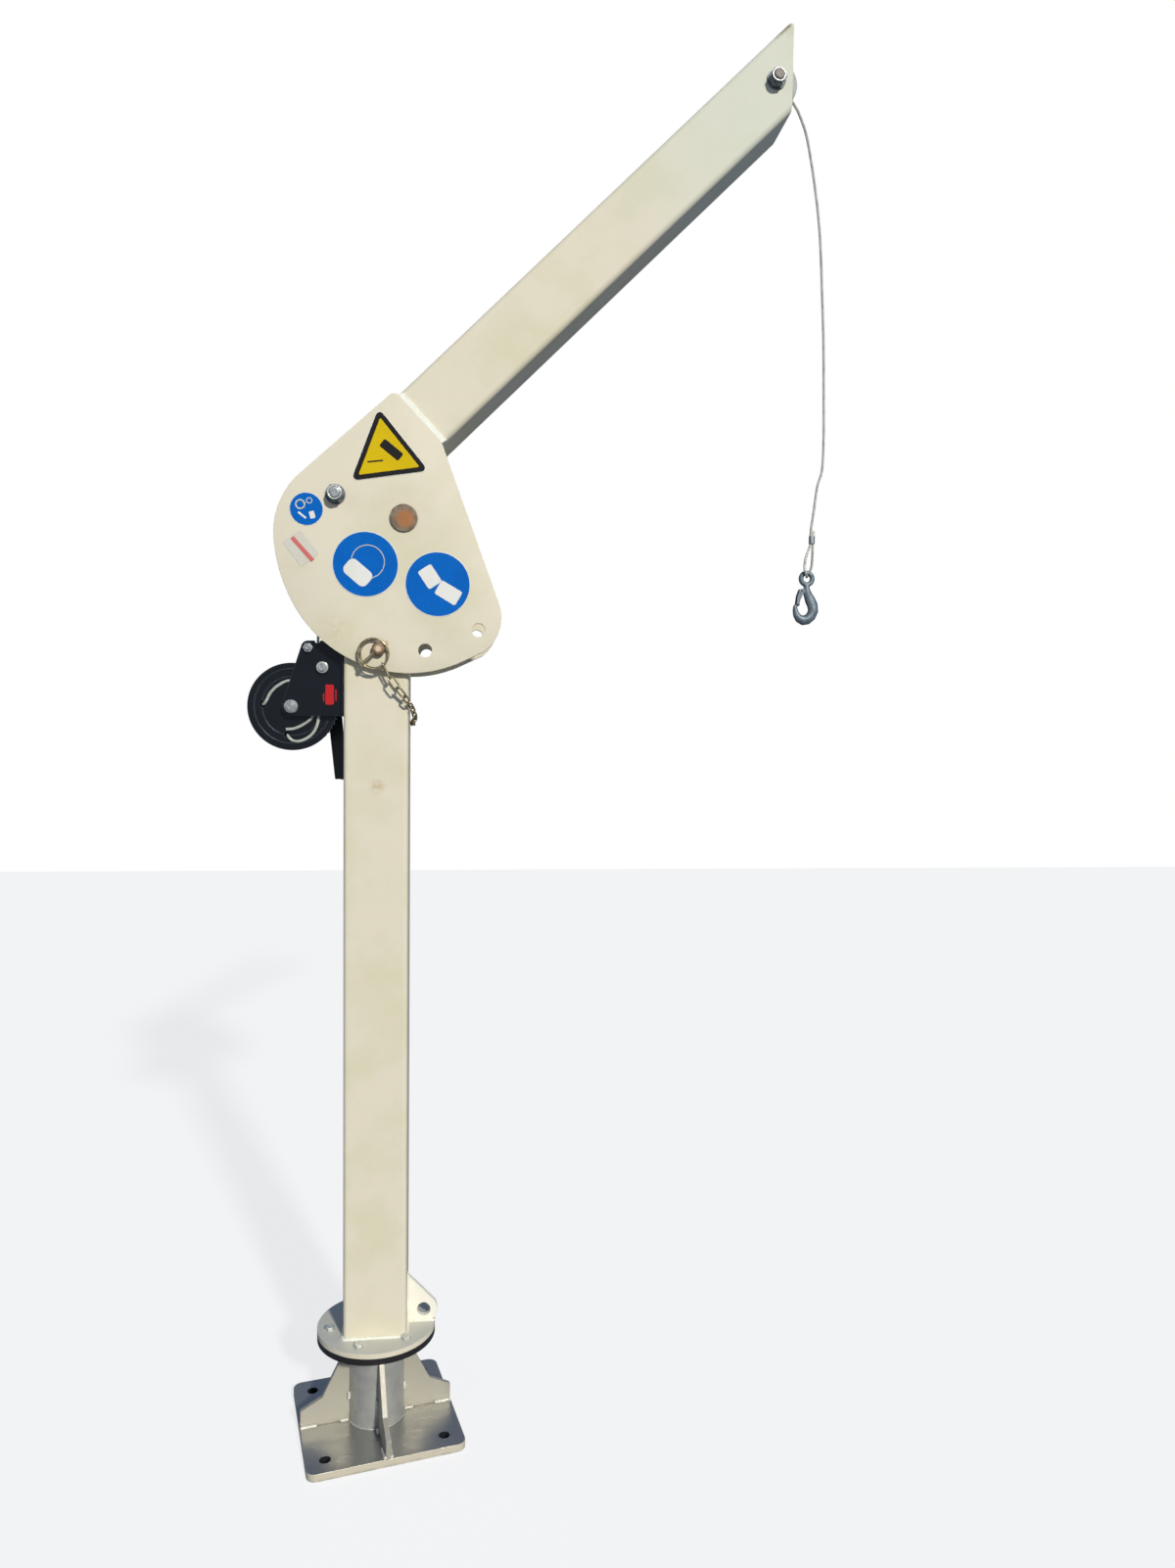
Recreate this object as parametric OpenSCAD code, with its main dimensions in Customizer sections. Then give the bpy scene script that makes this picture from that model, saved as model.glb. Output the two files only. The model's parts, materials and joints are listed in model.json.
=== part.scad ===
// Hand-operated slewing and luffing jib crane with a geared rope winch.
// The origin is on the slewing axis at the underside of the base plate, +Z is up and the jib points to +X.

/* [Base] */
// Side of the square base plate
plate_side = 247; // [235:1:300]
// Thickness of the base plate
plate_t = 12; // [8:1:20]
// Corner radius of the base plate
plate_corner_r = 15; // [5:1:30]
// Turn of the base plate about the slewing axis, against the jib
base_turn = 12.5; // [0:0.5:45]
// Circle of the four anchor holes
anchor_pcd = 264; // [240:2:290]
// Diameter of the anchor holes
anchor_hole_d = 18; // [12:1:22]
// Outer diameter of the pedestal tube
pedestal_d = 88.9; // [84:0.1:108]
// Wall of the pedestal tube
pedestal_wall = 4; // [3:0.5:5]
// Height of the pedestal tube above the base plate
pedestal_h = 135; // [130:1:200]
// Thickness of the gussets
gusset_t = 8; // [5:1:12]
// Distance of a gusset's toe from the slewing axis
gusset_reach = 122.5; // [105:0.5:123]
// Height of a gusset's toe
gusset_toe_h = 27; // [10:1:32]
// Distance of a gusset's knee from the slewing axis
gusset_knee_r = 88; // [70:1:100]
// Height of a gusset's knee
gusset_knee_h = 44; // [34:1:60]
// Height of a gusset at the pedestal tube
gusset_top_h = 121; // [90:1:122]

/* [Slewing joint] */
// Width of the slewing flange outside the circle of its bolts
flange_rim = 20; // [16:1:26]
// Thickness of the slewing flange
flange_t = 8; // [6:1:15]
// Thickness of the plastic sliding disc
slip_t = 10; // [6:1:12]
// Gap under the sliding disc
slip_gap = 0.4; // [0.2:0.1:0.8]
// Distance of a flange bolt from the nearest corner of the column
flange_bolt_out = 4.3; // [4:0.1:8]
// Outer diameter of the spigot that turns in the pedestal
spigot_d = 70; // [60:1:72]
// Wall of the spigot
spigot_wall = 5; // [3:0.5:8]
// Length of the spigot below the flange
spigot_l = 105; // [80:1:120]
// Length of the plastic bush in the pedestal
bush_l = 80; // [40:1:90]

/* [Column] */
// Outer width of the square column tube
column_w = 100; // [95:1:120]
// Wall of the column tube
column_wall = 4; // [3:0.5:6]
// Outer corner radius of the column tube
column_corner_r = 7; // [5:0.5:10]
// Height of the luffing pivot
pivot_z = 1462; // [1300:1:1750]
// Distance of the luffing pivot behind the column's face under the jib
pivot_edge = 8; // [6:1:10]
// Outer diameter of the pivot boss in the column head
boss_d = 60; // [54:1:64]
// Distance of the raked column top above the pivot, square to the rake
rake_off = 12; // [9:1:13]
// Thickness of the raked cap plate
cap_t = 5; // [4:1:8]
// Thickness of the lashing lug
lug_t = 10; // [6:1:15]
// Height of the lashing lug
lug_h = 78; // [60:1:100]
// Hole in the lashing lug
lug_hole_d = 22; // [14:1:26]
// Height of the lug's hole above the flange
lug_hole_h = 20; // [18:1:30]
// Distance of the lug's hole from the column
lug_hole_x = 26.5; // [22:0.5:32]
// Radius of the lug's round corner
lug_r = 22; // [18:1:24]

/* [Jib head] */
// Thickness of a head plate
head_t = 8; // [5:1:12]
// Gap between the column and a head plate
head_gap = 5; // [4:0.5:8]
// Diameter of the pivot pin
pivot_pin_d = 42; // [30:1:45]
// Radius of the circle of lock holes about the pivot
lock_r = 204; // [198:1:212]
// Diameter of the lock holes
lock_hole_d = 21; // [16:0.5:24]
// Diameter of the lock pin
lock_pin_d = 20; // [14:0.5:23]
// Direction of the lock pin, seen from the pivot
lock_angle = -100.6; // [-104:0.2:-97]

/* [Jib arm] */
// Height of the jib arm's box section
arm_h = 100; // [90:1:110]
// Wall of the jib arm
arm_wall = 4; // [3:0.5:6]
// Outer corner radius of the jib arm
arm_corner_r = 9; // [5:0.5:10]
// Distance of the arm's centre line from the pivot
arm_off = 90; // [88:1:95]
// Distance of the arm's tail from the pivot's foot on the centre line, backwards
arm_tail = 20; // [15:1:24]
// Distance of the arm's mitred mouth from the pivot's foot, on the centre line
arm_l = 942; // [920:1:1120]
// Distance of the tip sheave's axle behind the mouth
sheave_back = 38; // [30:1:50]
// Slope of the jib arm
arm_slope = 45; // [40:1:50]

/* [Rope] */
// Diameter of the wire rope
rope_d = 4.5; // [4:0.1:4.5]
// Diameter of the tip sheave's rims
sheave_d = 74; // [70:1:80]
// Depth of the tip sheave's groove
sheave_groove = 1.3; // [1:0.1:3]
// Width of the tip sheave
sheave_w = 92; // [60:1:94]
// Height at which the rope leaves the tip sheave, as an angle above its axle
rope_leave = 31; // [20:1:35]
// Diameter of the guide roller's rims
roller_d = 46; // [40:1:48]
// Depth of the guide roller's groove
roller_groove = 1.3; // [1:0.1:3]
// Width of the guide roller
roller_w = 98; // [60:1:100]
// Distance of the guide roller's axle behind the pivot's foot
roller_back = 50; // [49:1:55]
// Diameter of the bolts that carry the roller and the sheave
axle_d = 16; // [12:1:20]

/* [Winch] */
// Outer width of the winch frame
winch_w = 80; // [76:1:86]
// Sheet thickness of the winch frame
winch_t = 3; // [2.5:0.5:4]
// Diameter of the bolts that hold the winch frame
winch_bolt_d = 10; // [8:1:12]
// Distance of the drum axle from the column
drum_x = 80; // [76:1:84]
// Height of the drum axle below the pivot
drum_drop = 290; // [285:1:320]
// Diameter of the drum's flanges
drum_flange_d = 136; // [130:1:138]
// Diameter of the drum's barrel
drum_core_d = 50; // [40:1:60]
// Direction of the drive shaft, seen from the drum axle
shaft_angle = 51.8; // [50:0.2:56]
// Gear module
gear_m = 2.5; // [2:0.1:2.6]
// Teeth of the drum gear
gear_teeth = 50; // [46:1:52]
// Teeth of the pinion
pinion_teeth = 12; // [10:1:14]
// Width of the drum gear
gear_w = 8; // [6:1:10]
// Diameter of the drive shaft
shaft_d = 12; // [10:0.5:14]
// Length of the crank arm between shaft and grip
crank_l = 168; // [120:1:200]
// Thickness of the crank arm
crank_t = 6; // [4:1:8]
// Direction of the crank arm
crank_angle = -84.5; // [-90:0.5:-80]
// Length of the crank grip
grip_l = 100; // [80:1:120]

/* [Fits] */
// Radial running clearance of shafts and pins
run_gap = 0.08; // [0.02:0.01:0.1]
// Radial play of a bolt in its hole
bolt_gap = 0.3; // [0.2:0.1:0.5]
// Gap between a rope and the groove it lies in
rope_gap = 0.3; // [0.2:0.1:0.5]
// Gap between faces that slide past each other
slide_gap = 0.4; // [0.3:0.1:0.8]

/* [Hidden] */
$fn = 64;
fine = 128;

cream = [0.87, 0.84, 0.74];
steel = [0.72, 0.73, 0.74];
black = [0.1, 0.11, 0.13];

pedestal_top = plate_t + pedestal_h;
slip_z = pedestal_top + slip_gap;
flange_z = slip_z + slip_t;
foot_z = flange_z + flange_t;
flange_bolt_d = 8;
flange_bolt_phase = 12;

half_col = column_w / 2;
flange_pcd = 2 * (half_col * sqrt(2) + flange_bolt_out);
flange_d = flange_pcd + 2 * flange_rim;
head_in = half_col + head_gap;
head_out = head_in + head_t;
arm_w = 2 * head_in;
pivot = [half_col - pivot_edge, pivot_z];
rise = [cos(arm_slope), sin(arm_slope)];
side = [-sin(arm_slope), cos(arm_slope)];
roller_up = 5;
roller_pos = pivot - roller_back * rise + (arm_off + roller_up) * side;
sheave_pos = pivot + (arm_l - sheave_back) * rise + arm_off * side;
mouth_x = (pivot + arm_l * rise + arm_off * side)[0];
lock_pos = pivot + polar(lock_r, lock_angle);
lock_steps = [0, 20, 45];

roller_rope_r = roller_d / 2 - roller_groove + rope_gap + rope_d / 2;
sheave_rope_r = sheave_d / 2 - sheave_groove + rope_gap + rope_d / 2;
luff_range = 45;

drum_pos = [-half_col - drum_x, pivot_z - drum_drop];
shaft_pos = drum_pos + polar(gear_m * (gear_teeth + pinion_teeth) / 2, shaft_angle);
winch_in = winch_w / 2 - winch_t;
winch_side_gap = 5;
winch_near_gap = 9.3;
winch_bolt_places = [[-22, drum_pos[1] + 94], [22, drum_pos[1] + 94], [0, drum_pos[1]]];
tie_pos = drum_pos + [26, 91];
tie_d = 8;
tie_spacer_d = 12;
drum_axle_d = 14;
drum_rope_r = drum_core_d / 2 + rope_d / 2;
lead_r = drum_rope_r + rope_d + rope_gap;
drum_near = winch_near_gap - winch_in;
drum_flange_t = 3;
gear_y = winch_in - winch_side_gap - gear_w;
drum_far = gear_y - drum_flange_t;
crank_hub_l = 8;
crank_y = head_out + 5 + crank_hub_l;

// Hexagon nuts and washers of the bolts that carry the roller and the sheave
axle_af = 24;
axle_nut_l = 14.5;
axle_head_l = 10;
axle_washer_d = 30;
axle_washer_t = 3;
spacer_d = 24;
rope_run = sheave_pos - roller_pos;
rope_slope = atan2(rope_run[1], rope_run[0]) + asin((sheave_rope_r - roller_rope_r) / norm(rope_run));

// The route of the free rope, from the tip sheave to the ferrule, in X and Z
rope_route = [[661, 2166.5], [672.5, 2148.5], [685.7, 2116], [696, 2070], [703, 2030], [709, 1990],
    [714, 1942], [719, 1860], [723, 1784], [725.5, 1700], [727, 1625], [725.5, 1577], [718, 1549],
    [712, 1502], [709.4, 1484], [708.3, 1471], [708.3, 1467.5]];
ferrule_z = 1455;
ferrule_l = 12.5;
// The eye, from the ferrule down through the hook's ring and back up
eye_route = [[707.8, 0, 1455], [707.8, 0, 1452], [703.5, -1.5, 1441], [699.3, -4, 1430], [697, -6.5, 1417],
    [697.3, -7.8, 1409], [699.3, -7, 1404], [701.3, -4.5, 1401], [703, 0, 1400], [704.8, 4.5, 1401],
    [707.5, 7, 1404], [711, 7.8, 1410], [713, 6, 1418], [713.3, 3.5, 1431], [712.6, 1, 1443],
    [712.4, 0, 1452], [712.4, 0, 1455]];
hook_eye = [703, 1397];
// The bend of the hook, in X and Z, with its half widths in the plane of the hook and across it
hook_bend = [[703, 1385, 4.5, 4.5], [703.5, 1379, 5.8, 5], [705.5, 1371, 7.5, 5.5], [709.5, 1362.5, 9.2, 6],
    [714, 1353.5, 9.4, 6.5], [715.5, 1344, 9, 7], [711.5, 1335, 8.8, 7], [705, 1329.5, 8.8, 7],
    [698, 1328, 8.6, 6.8], [691, 1331, 7.4, 6.2], [686.5, 1337.5, 6, 5.4], [684.5, 1345, 4.6, 4.6],
    [684.3, 1351.5, 3.4, 3.6], [684.7, 1355, 1.6, 2]];
latch_pos = [693.7, 1376.1];
rivet_d = 3;

// The linch pin that keeps the lock pin in: a shank through the lock pin, with a snap ring
lock_ring_r = 23;
lock_ring_wire = 3.5;
lock_shank_d = 5;
lock_ring_off = 11;
lock_ring_y = -head_out - 7.5;
lock_ring_at = lock_pos - polar(lock_ring_off, 45);
// The chain from the snap ring to a screw in the column: where its links meet, seen from the lock pin
chain_wire = 3;
chain_screw = [half_col, -head_out + 34, lock_pos[1] - 112];
chain_hang = lock_ring_at + polar(lock_ring_r - lock_ring_wire / 2 - 0.3, -47);
chain_turns = [90, -30, 45, -45, 45, -45, 42, -48, 40];
chain_widths = [10, 13, 13, 12, 11, 10.5, 10.5, 10.5, 11.5];
chain_joints = concat([[chain_hang[0], lock_ring_y, chain_hang[1]]],
    [for (p = [[17.8, -7, -44], [29, -6, -59.5], [39.5, -2.5, -72.5], [46, 3, -81.5], [50.5, 9.5, -89],
        [53.5, 16, -96], [55, 22, -103], [54.3, 27.5, -109.5]])
        [lock_pos[0], -head_out, lock_pos[1]] + p],
    [chain_screw + [4, 1.9, -0.8]]);

// Point at radius r and angle a
function polar(r, a) = [r * cos(a), r * sin(a)];

// Points along an arc about c from angle a to angle b in n steps
function arc(c, r, a, b, n) = [for (i = [0 : n]) c + polar(r, a + (b - a) * i / n)];

// Rectangle of w by h about the origin with round corners
function round_rect(w, h, r) = concat(
    arc([w / 2 - r, h / 2 - r], r, 0, 90, 6), arc([r - w / 2, h / 2 - r], r, 90, 180, 6),
    arc([r - w / 2, r - h / 2], r, 180, 270, 6), arc([w / 2 - r, r - h / 2], r, 270, 360, 6));

function unit(v) = v / norm(v);

// Cross-sections of a tube swept along a path, their first side turned towards ref
function ring(p, t, ref, r, sides) = let (u = unit(cross(t, ref)), v = cross(t, u))
    [for (k = [0 : sides - 1]) p + r[0] * cos(360 * k / sides) * u + r[1] * sin(360 * k / sides) * v];

function tangent(path, i) = unit(path[min(i + 1, len(path) - 1)] - path[max(i - 1, 0)]);

// A solid bar along a path of 3-D points, with the two half widths of its oval section at each point
module swept(path, radii, sides, ref) {
    n = len(path);
    points = [for (i = [0 : n - 1]) each ring(path[i], tangent(path, i), ref, radii[i], sides)];
    walls = [for (i = [0 : n - 2], k = [0 : sides - 1]) let (j = (k + 1) % sides)
        each [[i * sides + k, (i + 1) * sides + k, (i + 1) * sides + j],
            [i * sides + k, (i + 1) * sides + j, i * sides + j]]];
    start = [[for (k = [0 : sides - 1]) k]];
    end = [[for (k = [sides - 1 : -1 : 0]) (n - 1) * sides + k]];
    polyhedron(points, concat(walls, start, end), convexity = 6);
}

// A rope along points in the X-Z plane
module rope(route) {
    swept([for (p = route) [p[0], 0, p[1]]], [for (p = route) [rope_d, rope_d] / 2], 8, [0, 1, 0]);
}

// A flat shape drawn in X and Z, standing between y0 and y0 + t
module upright(y0, t) {
    translate([0, y0 + t, 0]) rotate([90, 0, 0]) linear_extrude(t) children();
}

// A round bar along Y at point p of the X-Z plane
module bar_y(p, d, y0, y1) {
    translate([p[0], y1, p[1]]) rotate([90, 0, 0]) cylinder(d = d, h = y1 - y0);
}

// A hexagon along Y, af across its flats
module hex_y(p, af, y0, y1) {
    translate([p[0], y1, p[1]]) rotate([90, 0, 0]) cylinder(d = af / cos(30), h = y1 - y0, $fn = 6);
}

// ---- base ----

module base_plate() {
    color(steel) rotate([0, 0, base_turn]) difference() {
        linear_extrude(plate_t) polygon(round_rect(plate_side, plate_side, plate_corner_r));
        for (a = [45 : 90 : 315])
            rotate([0, 0, a]) translate([anchor_pcd / 2, 0, -1]) cylinder(d = anchor_hole_d, h = plate_t + 2);
    }
}

module pedestal_tube() {
    color(steel) translate([0, 0, plate_t]) difference() {
        cylinder(d = pedestal_d, h = pedestal_h, $fn = fine);
        translate([0, 0, -1]) cylinder(d = pedestal_d - 2 * pedestal_wall, h = pedestal_h + 2, $fn = fine);
    }
}

// Two-slope stiffener between the pedestal tube and the middle of a plate side
module gusset(a) {
    slope_foot = pedestal_d / 2 + 4;
    color(steel) rotate([0, 0, base_turn + a]) difference() {
        translate([0, 0, plate_t]) upright(-gusset_t / 2, gusset_t) polygon([
            [pedestal_d / 2 - 3, 0], [gusset_reach, 0], [gusset_reach, gusset_toe_h],
            [gusset_knee_r, gusset_knee_h], [slope_foot, gusset_top_h], [pedestal_d / 2 - 3, gusset_top_h]]);
        cylinder(d = pedestal_d, h = pedestal_top + 1, $fn = fine);
    }
}

module slew_bush() {
    color("dimgray") translate([0, 0, pedestal_top - bush_l]) difference() {
        cylinder(d = pedestal_d - 2 * pedestal_wall, h = bush_l, $fn = fine);
        translate([0, 0, -1]) cylinder(d = spigot_d + 2 * run_gap, h = bush_l + 2, $fn = fine);
    }
}

// ---- slewing flange ----

module at_flange_bolts() {
    for (k = [0 : 5])
        rotate([0, 0, flange_bolt_phase + 60 * k]) translate([flange_pcd / 2, 0, 0]) children();
}

module slip_disc() {
    color(black) translate([0, 0, slip_z]) difference() {
        cylinder(d = flange_d, h = slip_t, $fn = fine);
        translate([0, 0, -1]) cylinder(d = spigot_d + 2 * bolt_gap, h = slip_t + 2, $fn = fine);
        at_flange_bolts() translate([0, 0, -1]) cylinder(d = flange_bolt_d + 2 * bolt_gap, h = slip_t + 2);
    }
}

module slew_flange() {
    color(cream) translate([0, 0, flange_z]) difference() {
        cylinder(d = flange_d, h = flange_t, $fn = fine);
        at_flange_bolts() translate([0, 0, -1]) cylinder(d = flange_bolt_d + 2 * bolt_gap, h = flange_t + 2);
    }
}

module slew_spigot() {
    color(steel) translate([0, 0, flange_z - spigot_l]) difference() {
        cylinder(d = spigot_d, h = spigot_l, $fn = fine);
        translate([0, 0, -1]) cylinder(d = spigot_d - 2 * spigot_wall, h = spigot_l + 2, $fn = fine);
    }
}

module flange_bolts() {
    color("silver") at_flange_bolts() {
        translate([0, 0, foot_z]) cylinder(d = 13 / cos(30), h = 5.3, $fn = 6);
        translate([0, 0, slip_z - 10]) cylinder(d = flange_bolt_d, h = foot_z - slip_z + 10);
    }
}

module flange_nuts() {
    color("silver") at_flange_bolts() translate([0, 0, slip_z - 6.5]) difference() {
        cylinder(d = 13 / cos(30), h = 6.5, $fn = 6);
        translate([0, 0, -1]) cylinder(d = flange_bolt_d, h = 9);
    }
}

// ---- column ----

// Everything above the raked top of the column
module above_rake(off) {
    foot = pivot + off * side;
    reach = 4 * column_w;
    upright(-column_w, 2 * column_w) polygon([foot - reach * rise, foot + reach * rise,
        foot + reach * (rise + side), foot + reach * (side - rise)]);
}

module column_tube() {
    color(cream) difference() {
        translate([0, 0, foot_z]) linear_extrude(pivot_z + 100 - foot_z) difference() {
            polygon(round_rect(column_w, column_w, column_corner_r));
            polygon(round_rect(column_w - 2 * column_wall, column_w - 2 * column_wall,
                column_corner_r - column_wall));
        }
        above_rake(rake_off - cap_t);
        bar_y(pivot, boss_d, -column_w, column_w);
        bar_y(lock_pos, lock_hole_d, -column_w, column_w);
        for (p = winch_bolt_places)
            translate([-half_col - 1, p[0], p[1]]) rotate([0, 90, 0])
                cylinder(d = winch_bolt_d + 2 * bolt_gap, h = column_wall + 2);
    }
}

// Raked cap plate, cut round the pivot boss
module column_cap() {
    color(cream) difference() {
        intersection() {
            translate([0, 0, foot_z]) linear_extrude(pivot_z + 100 - foot_z)
                polygon(round_rect(column_w, column_w, column_corner_r));
            above_rake(rake_off - cap_t);
        }
        above_rake(rake_off);
        bar_y(pivot, boss_d, -column_w, column_w);
    }
}

module pivot_boss() {
    color(cream) difference() {
        bar_y(pivot, boss_d, -half_col, half_col);
        bar_y(pivot, pivot_pin_d + 2 * run_gap, -column_w, column_w);
    }
}

// Plastic washers that centre the jib head on the boss
module pivot_washers() {
    t = head_gap - slide_gap;
    color(black) for (y = [-half_col - t, half_col]) difference() {
        bar_y(pivot, boss_d, y, y + t);
        bar_y(pivot, pivot_pin_d + 2 * bolt_gap, -column_w, column_w);
    }
}

// Lug for a tag line or lashing, welded to the column and the flange
module lashing_lug() {
    eye = [half_col + lug_hole_x, foot_z + lug_hole_h];
    color(cream) difference() {
        upright(-lug_t / 2, lug_t) intersection() {
            hull() {
                translate(eye) circle(r = lug_r);
                translate([half_col, foot_z]) square([1, lug_h]);
            }
            translate([half_col, foot_z]) square([column_w, lug_h]);
        }
        bar_y(eye, lug_hole_d, -lug_t, lug_t);
    }
}

// ---- lock pin, drawn without the stretches that cross the head plates ----

module lock_pin() {
    near = head_out + slide_gap;
    front = head_out + 12;
    bevel = 3;
    color("silver") {
        difference() {
            union() {
                bar_y(lock_pos, lock_pin_d, bevel - front, -near);
                translate([lock_pos[0], bevel - front, lock_pos[1]]) rotate([90, 0, 0])
                    cylinder(d1 = lock_pin_d, d2 = lock_pin_d - 2 * bevel, h = bevel);
            }
            lock_shank(-column_w, column_w);
        }
        bar_y(lock_pos, lock_pin_d, slide_gap - head_in, head_in - slide_gap);
        bar_y(lock_pos, lock_pin_d, near, near + 6);
    }
}

// Round bar through the lock pin's front end, from a to b along its own slope
module lock_shank(a, b) {
    translate([lock_pos[0], lock_ring_y, lock_pos[1]]) rotate([0, 45, 0])
        translate([0, 0, a]) cylinder(d = lock_shank_d, h = b - a);
}

module lock_pin_ring() {
    color("silver") {
        translate([lock_ring_at[0], lock_ring_y, lock_ring_at[1]]) rotate([90, 0, 0])
            rotate_extrude() translate([lock_ring_r, 0]) circle(d = lock_ring_wire, $fn = 24);
        lock_shank(-lock_ring_r - lock_ring_off, lock_ring_r - lock_ring_off);
        bar_y(lock_pos - polar(lock_ring_r + lock_ring_off, 45), 8, lock_ring_y - 3, lock_ring_y + 3);
    }
}

// Chain link that spans from p to q, turned about that line
module chain_link(p, q, width, turn) {
    t = unit(q - p);
    u = unit(cross(t, [0, 1, 0]));
    v = cross(t, u);
    s = cos(turn) * u + sin(turn) * v;
    n = cross(t, s);
    m = (p + q) / 2;
    b = (width - chain_wire) / 2;
    a = (norm(q - p) + 0.9 * chain_wire) / 2 - b;
    multmatrix([[t[0], s[0], n[0], m[0]], [t[1], s[1], n[1], m[1]], [t[2], s[2], n[2], m[2]]])
        for (k = [-1, 1]) {
            translate([k * a, 0, 0]) rotate([0, 0, -90 * k]) rotate_extrude(angle = 180)
                translate([b, 0]) circle(d = chain_wire, $fn = 16);
            translate([-a, k * b, 0]) rotate([0, 90, 0]) cylinder(d = chain_wire, h = 2 * a, $fn = 16);
        }
}

module pin_chain() {
    color("silver") {
        for (i = [0 : len(chain_turns) - 1])
            chain_link(chain_joints[i], chain_joints[i + 1], chain_widths[i], chain_turns[i]);
        translate(chain_screw) rotate([0, 90, 0]) {
            cylinder(d = 4, h = 7);
            translate([0, 0, 7]) cylinder(d = 10, h = 3);
        }
    }
}

// ---- winch frame on the column ----

module winch_side() {
    difference() {
        hull() {
            translate(drum_pos) circle(r = 14, $fn = 32);
            translate(tie_pos) circle(r = 11, $fn = 32);
            translate([-half_col - 1, drum_pos[1] - 14]) square([1, tie_pos[1] - drum_pos[1] + 26]);
        }
        translate(tie_pos + [14, 11]) circle(r = 4, $fn = 32);
    }
}

// One pressed channel: a web against the column and two side plates
module winch_frame() {
    z0 = drum_pos[1] - 14;
    h = tie_pos[1] - drum_pos[1] + 26;
    color(black) difference() {
        union() {
            for (y = [-winch_w / 2, winch_in]) upright(y, winch_t) winch_side();
            translate([-half_col - winch_t, -winch_in, z0]) cube([winch_t, 2 * winch_in, h]);
        }
        bar_y(drum_pos, drum_axle_d + 2 * bolt_gap, -winch_w, winch_w);
        bar_y(tie_pos, tie_d + 2 * bolt_gap, -winch_w, winch_w);
        bar_y(shaft_pos, shaft_d + 2 * run_gap, -winch_w, winch_w);
        for (p = winch_bolt_places)
            translate([-half_col - winch_t - 1, p[0], p[1]]) rotate([0, 90, 0])
                cylinder(d = winch_bolt_d + 2 * bolt_gap, h = winch_t + 2);
    }
}

module winch_bolts() {
    head_l = 0.64 * winch_bolt_d;
    color("silver") for (p = winch_bolt_places)
        translate([-half_col - winch_t, p[0], p[1]]) rotate([0, 90, 0]) {
            translate([0, 0, -head_l]) cylinder(d = 1.7 * winch_bolt_d / cos(30), h = head_l, $fn = 6);
            cylinder(d = winch_bolt_d, h = winch_t + column_wall + 8);
        }
}

module winch_tie_bolt() {
    color("silver") {
        bar_y(tie_pos, tie_d, -winch_w / 2 - 8, winch_w / 2 + 1);
        hex_y(tie_pos, 13, -winch_w / 2 - 6, -winch_w / 2);
        hex_y(tie_pos, 13, winch_w / 2, winch_w / 2 + 5.3);
        bar_y(tie_pos, tie_spacer_d, -winch_in, winch_in);
    }
}

module drum_axle() {
    color("silver") {
        bar_y(drum_pos, drum_axle_d, -winch_w / 2 - 9.5, winch_w / 2 + 1);
        hex_y(drum_pos, 17, -winch_w / 2 - 8, -winch_w / 2 - 1);
        bar_y(drum_pos, 21, -winch_w / 2 - 2, -winch_w / 2);
        hex_y(drum_pos, 19, winch_w / 2, winch_w / 2 + 8);
    }
}

// ---- drum ----

module winch_drum() {
    color(black) difference() {
        union() {
            bar_y(drum_pos, drum_flange_d, drum_near, drum_near + drum_flange_t);
            bar_y(drum_pos, drum_core_d, drum_near, gear_y);
            bar_y(drum_pos, drum_flange_d - 16, drum_far, gear_y);
            for (d = [drum_flange_d - 42, drum_flange_d - 18]) difference() {
                bar_y(drum_pos, d, drum_near - 1, drum_near);
                bar_y(drum_pos, d - 4, drum_near - 2, drum_near + 1);
            }
        }
        bar_y(drum_pos, drum_axle_d + 2 * run_gap, -winch_w, winch_w);
        for (a = [176, 261])
            bar_y(drum_pos + polar(44.5, a), 10, drum_near - 2, drum_near + drum_flange_t + 1);
    }
}

// Half angle of a tooth at radius r, from the involute
function inv(a) = tan(a) * 180 / PI - a;
function half_tooth(z, r) = let (rb = z * gear_m / 2 * cos(20))
    86 / z + inv(20) - (r > rb ? inv(acos(rb / r)) : 0);

// Outline of a spur gear with z teeth, the first tooth at angle a0
function spur(z, a0) = let (rp = z * gear_m / 2, radii = [for (k = [-1.15, -0.4, 0.3, 0.85]) rp + k * gear_m])
    [for (i = [0 : z - 1]) each concat(
        [for (r = radii) polar(r, a0 + 360 * i / z - half_tooth(z, r))],
        [for (k = [3 : -1 : 0]) polar(radii[k], a0 + 360 * i / z + half_tooth(z, radii[k]))])];

module drum_gear() {
    color("dimgray") difference() {
        upright(gear_y, gear_w) translate(drum_pos) polygon(spur(gear_teeth, shaft_angle + 180 / gear_teeth));
        bar_y(drum_pos, drum_axle_d + 2 * run_gap, -winch_w, winch_w);
    }
}

// The wound rope, one layer of turns side by side
module drum_rope() {
    room = drum_far - drum_near - drum_flange_t - 2 * rope_gap;
    turns = floor(room / rope_d);
    y0 = drum_near + drum_flange_t + rope_gap;
    color("silver") translate([drum_pos[0], y0, drum_pos[1]]) rotate([-90, 0, 0]) rotate_extrude($fn = fine)
        polygon(concat([[drum_core_d / 2, turns * rope_d], [drum_core_d / 2, 0]],
            [for (i = [0 : turns - 1]) each arc([drum_rope_r, (i + 0.5) * rope_d], rope_d / 2, -90, 90, 6)]));
}

// ---- crank ----

module drive_shaft() {
    color("silver") {
        bar_y(shaft_pos, shaft_d, -winch_w / 2 - 9, crank_y + crank_t + 2);
        bar_y(shaft_pos, shaft_d + 6, -winch_w / 2 - 6, -winch_w / 2 - slide_gap);
        upright(gear_y, gear_w) translate(shaft_pos)
            polygon(spur(pinion_teeth, shaft_angle + 180));
    }
}

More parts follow.
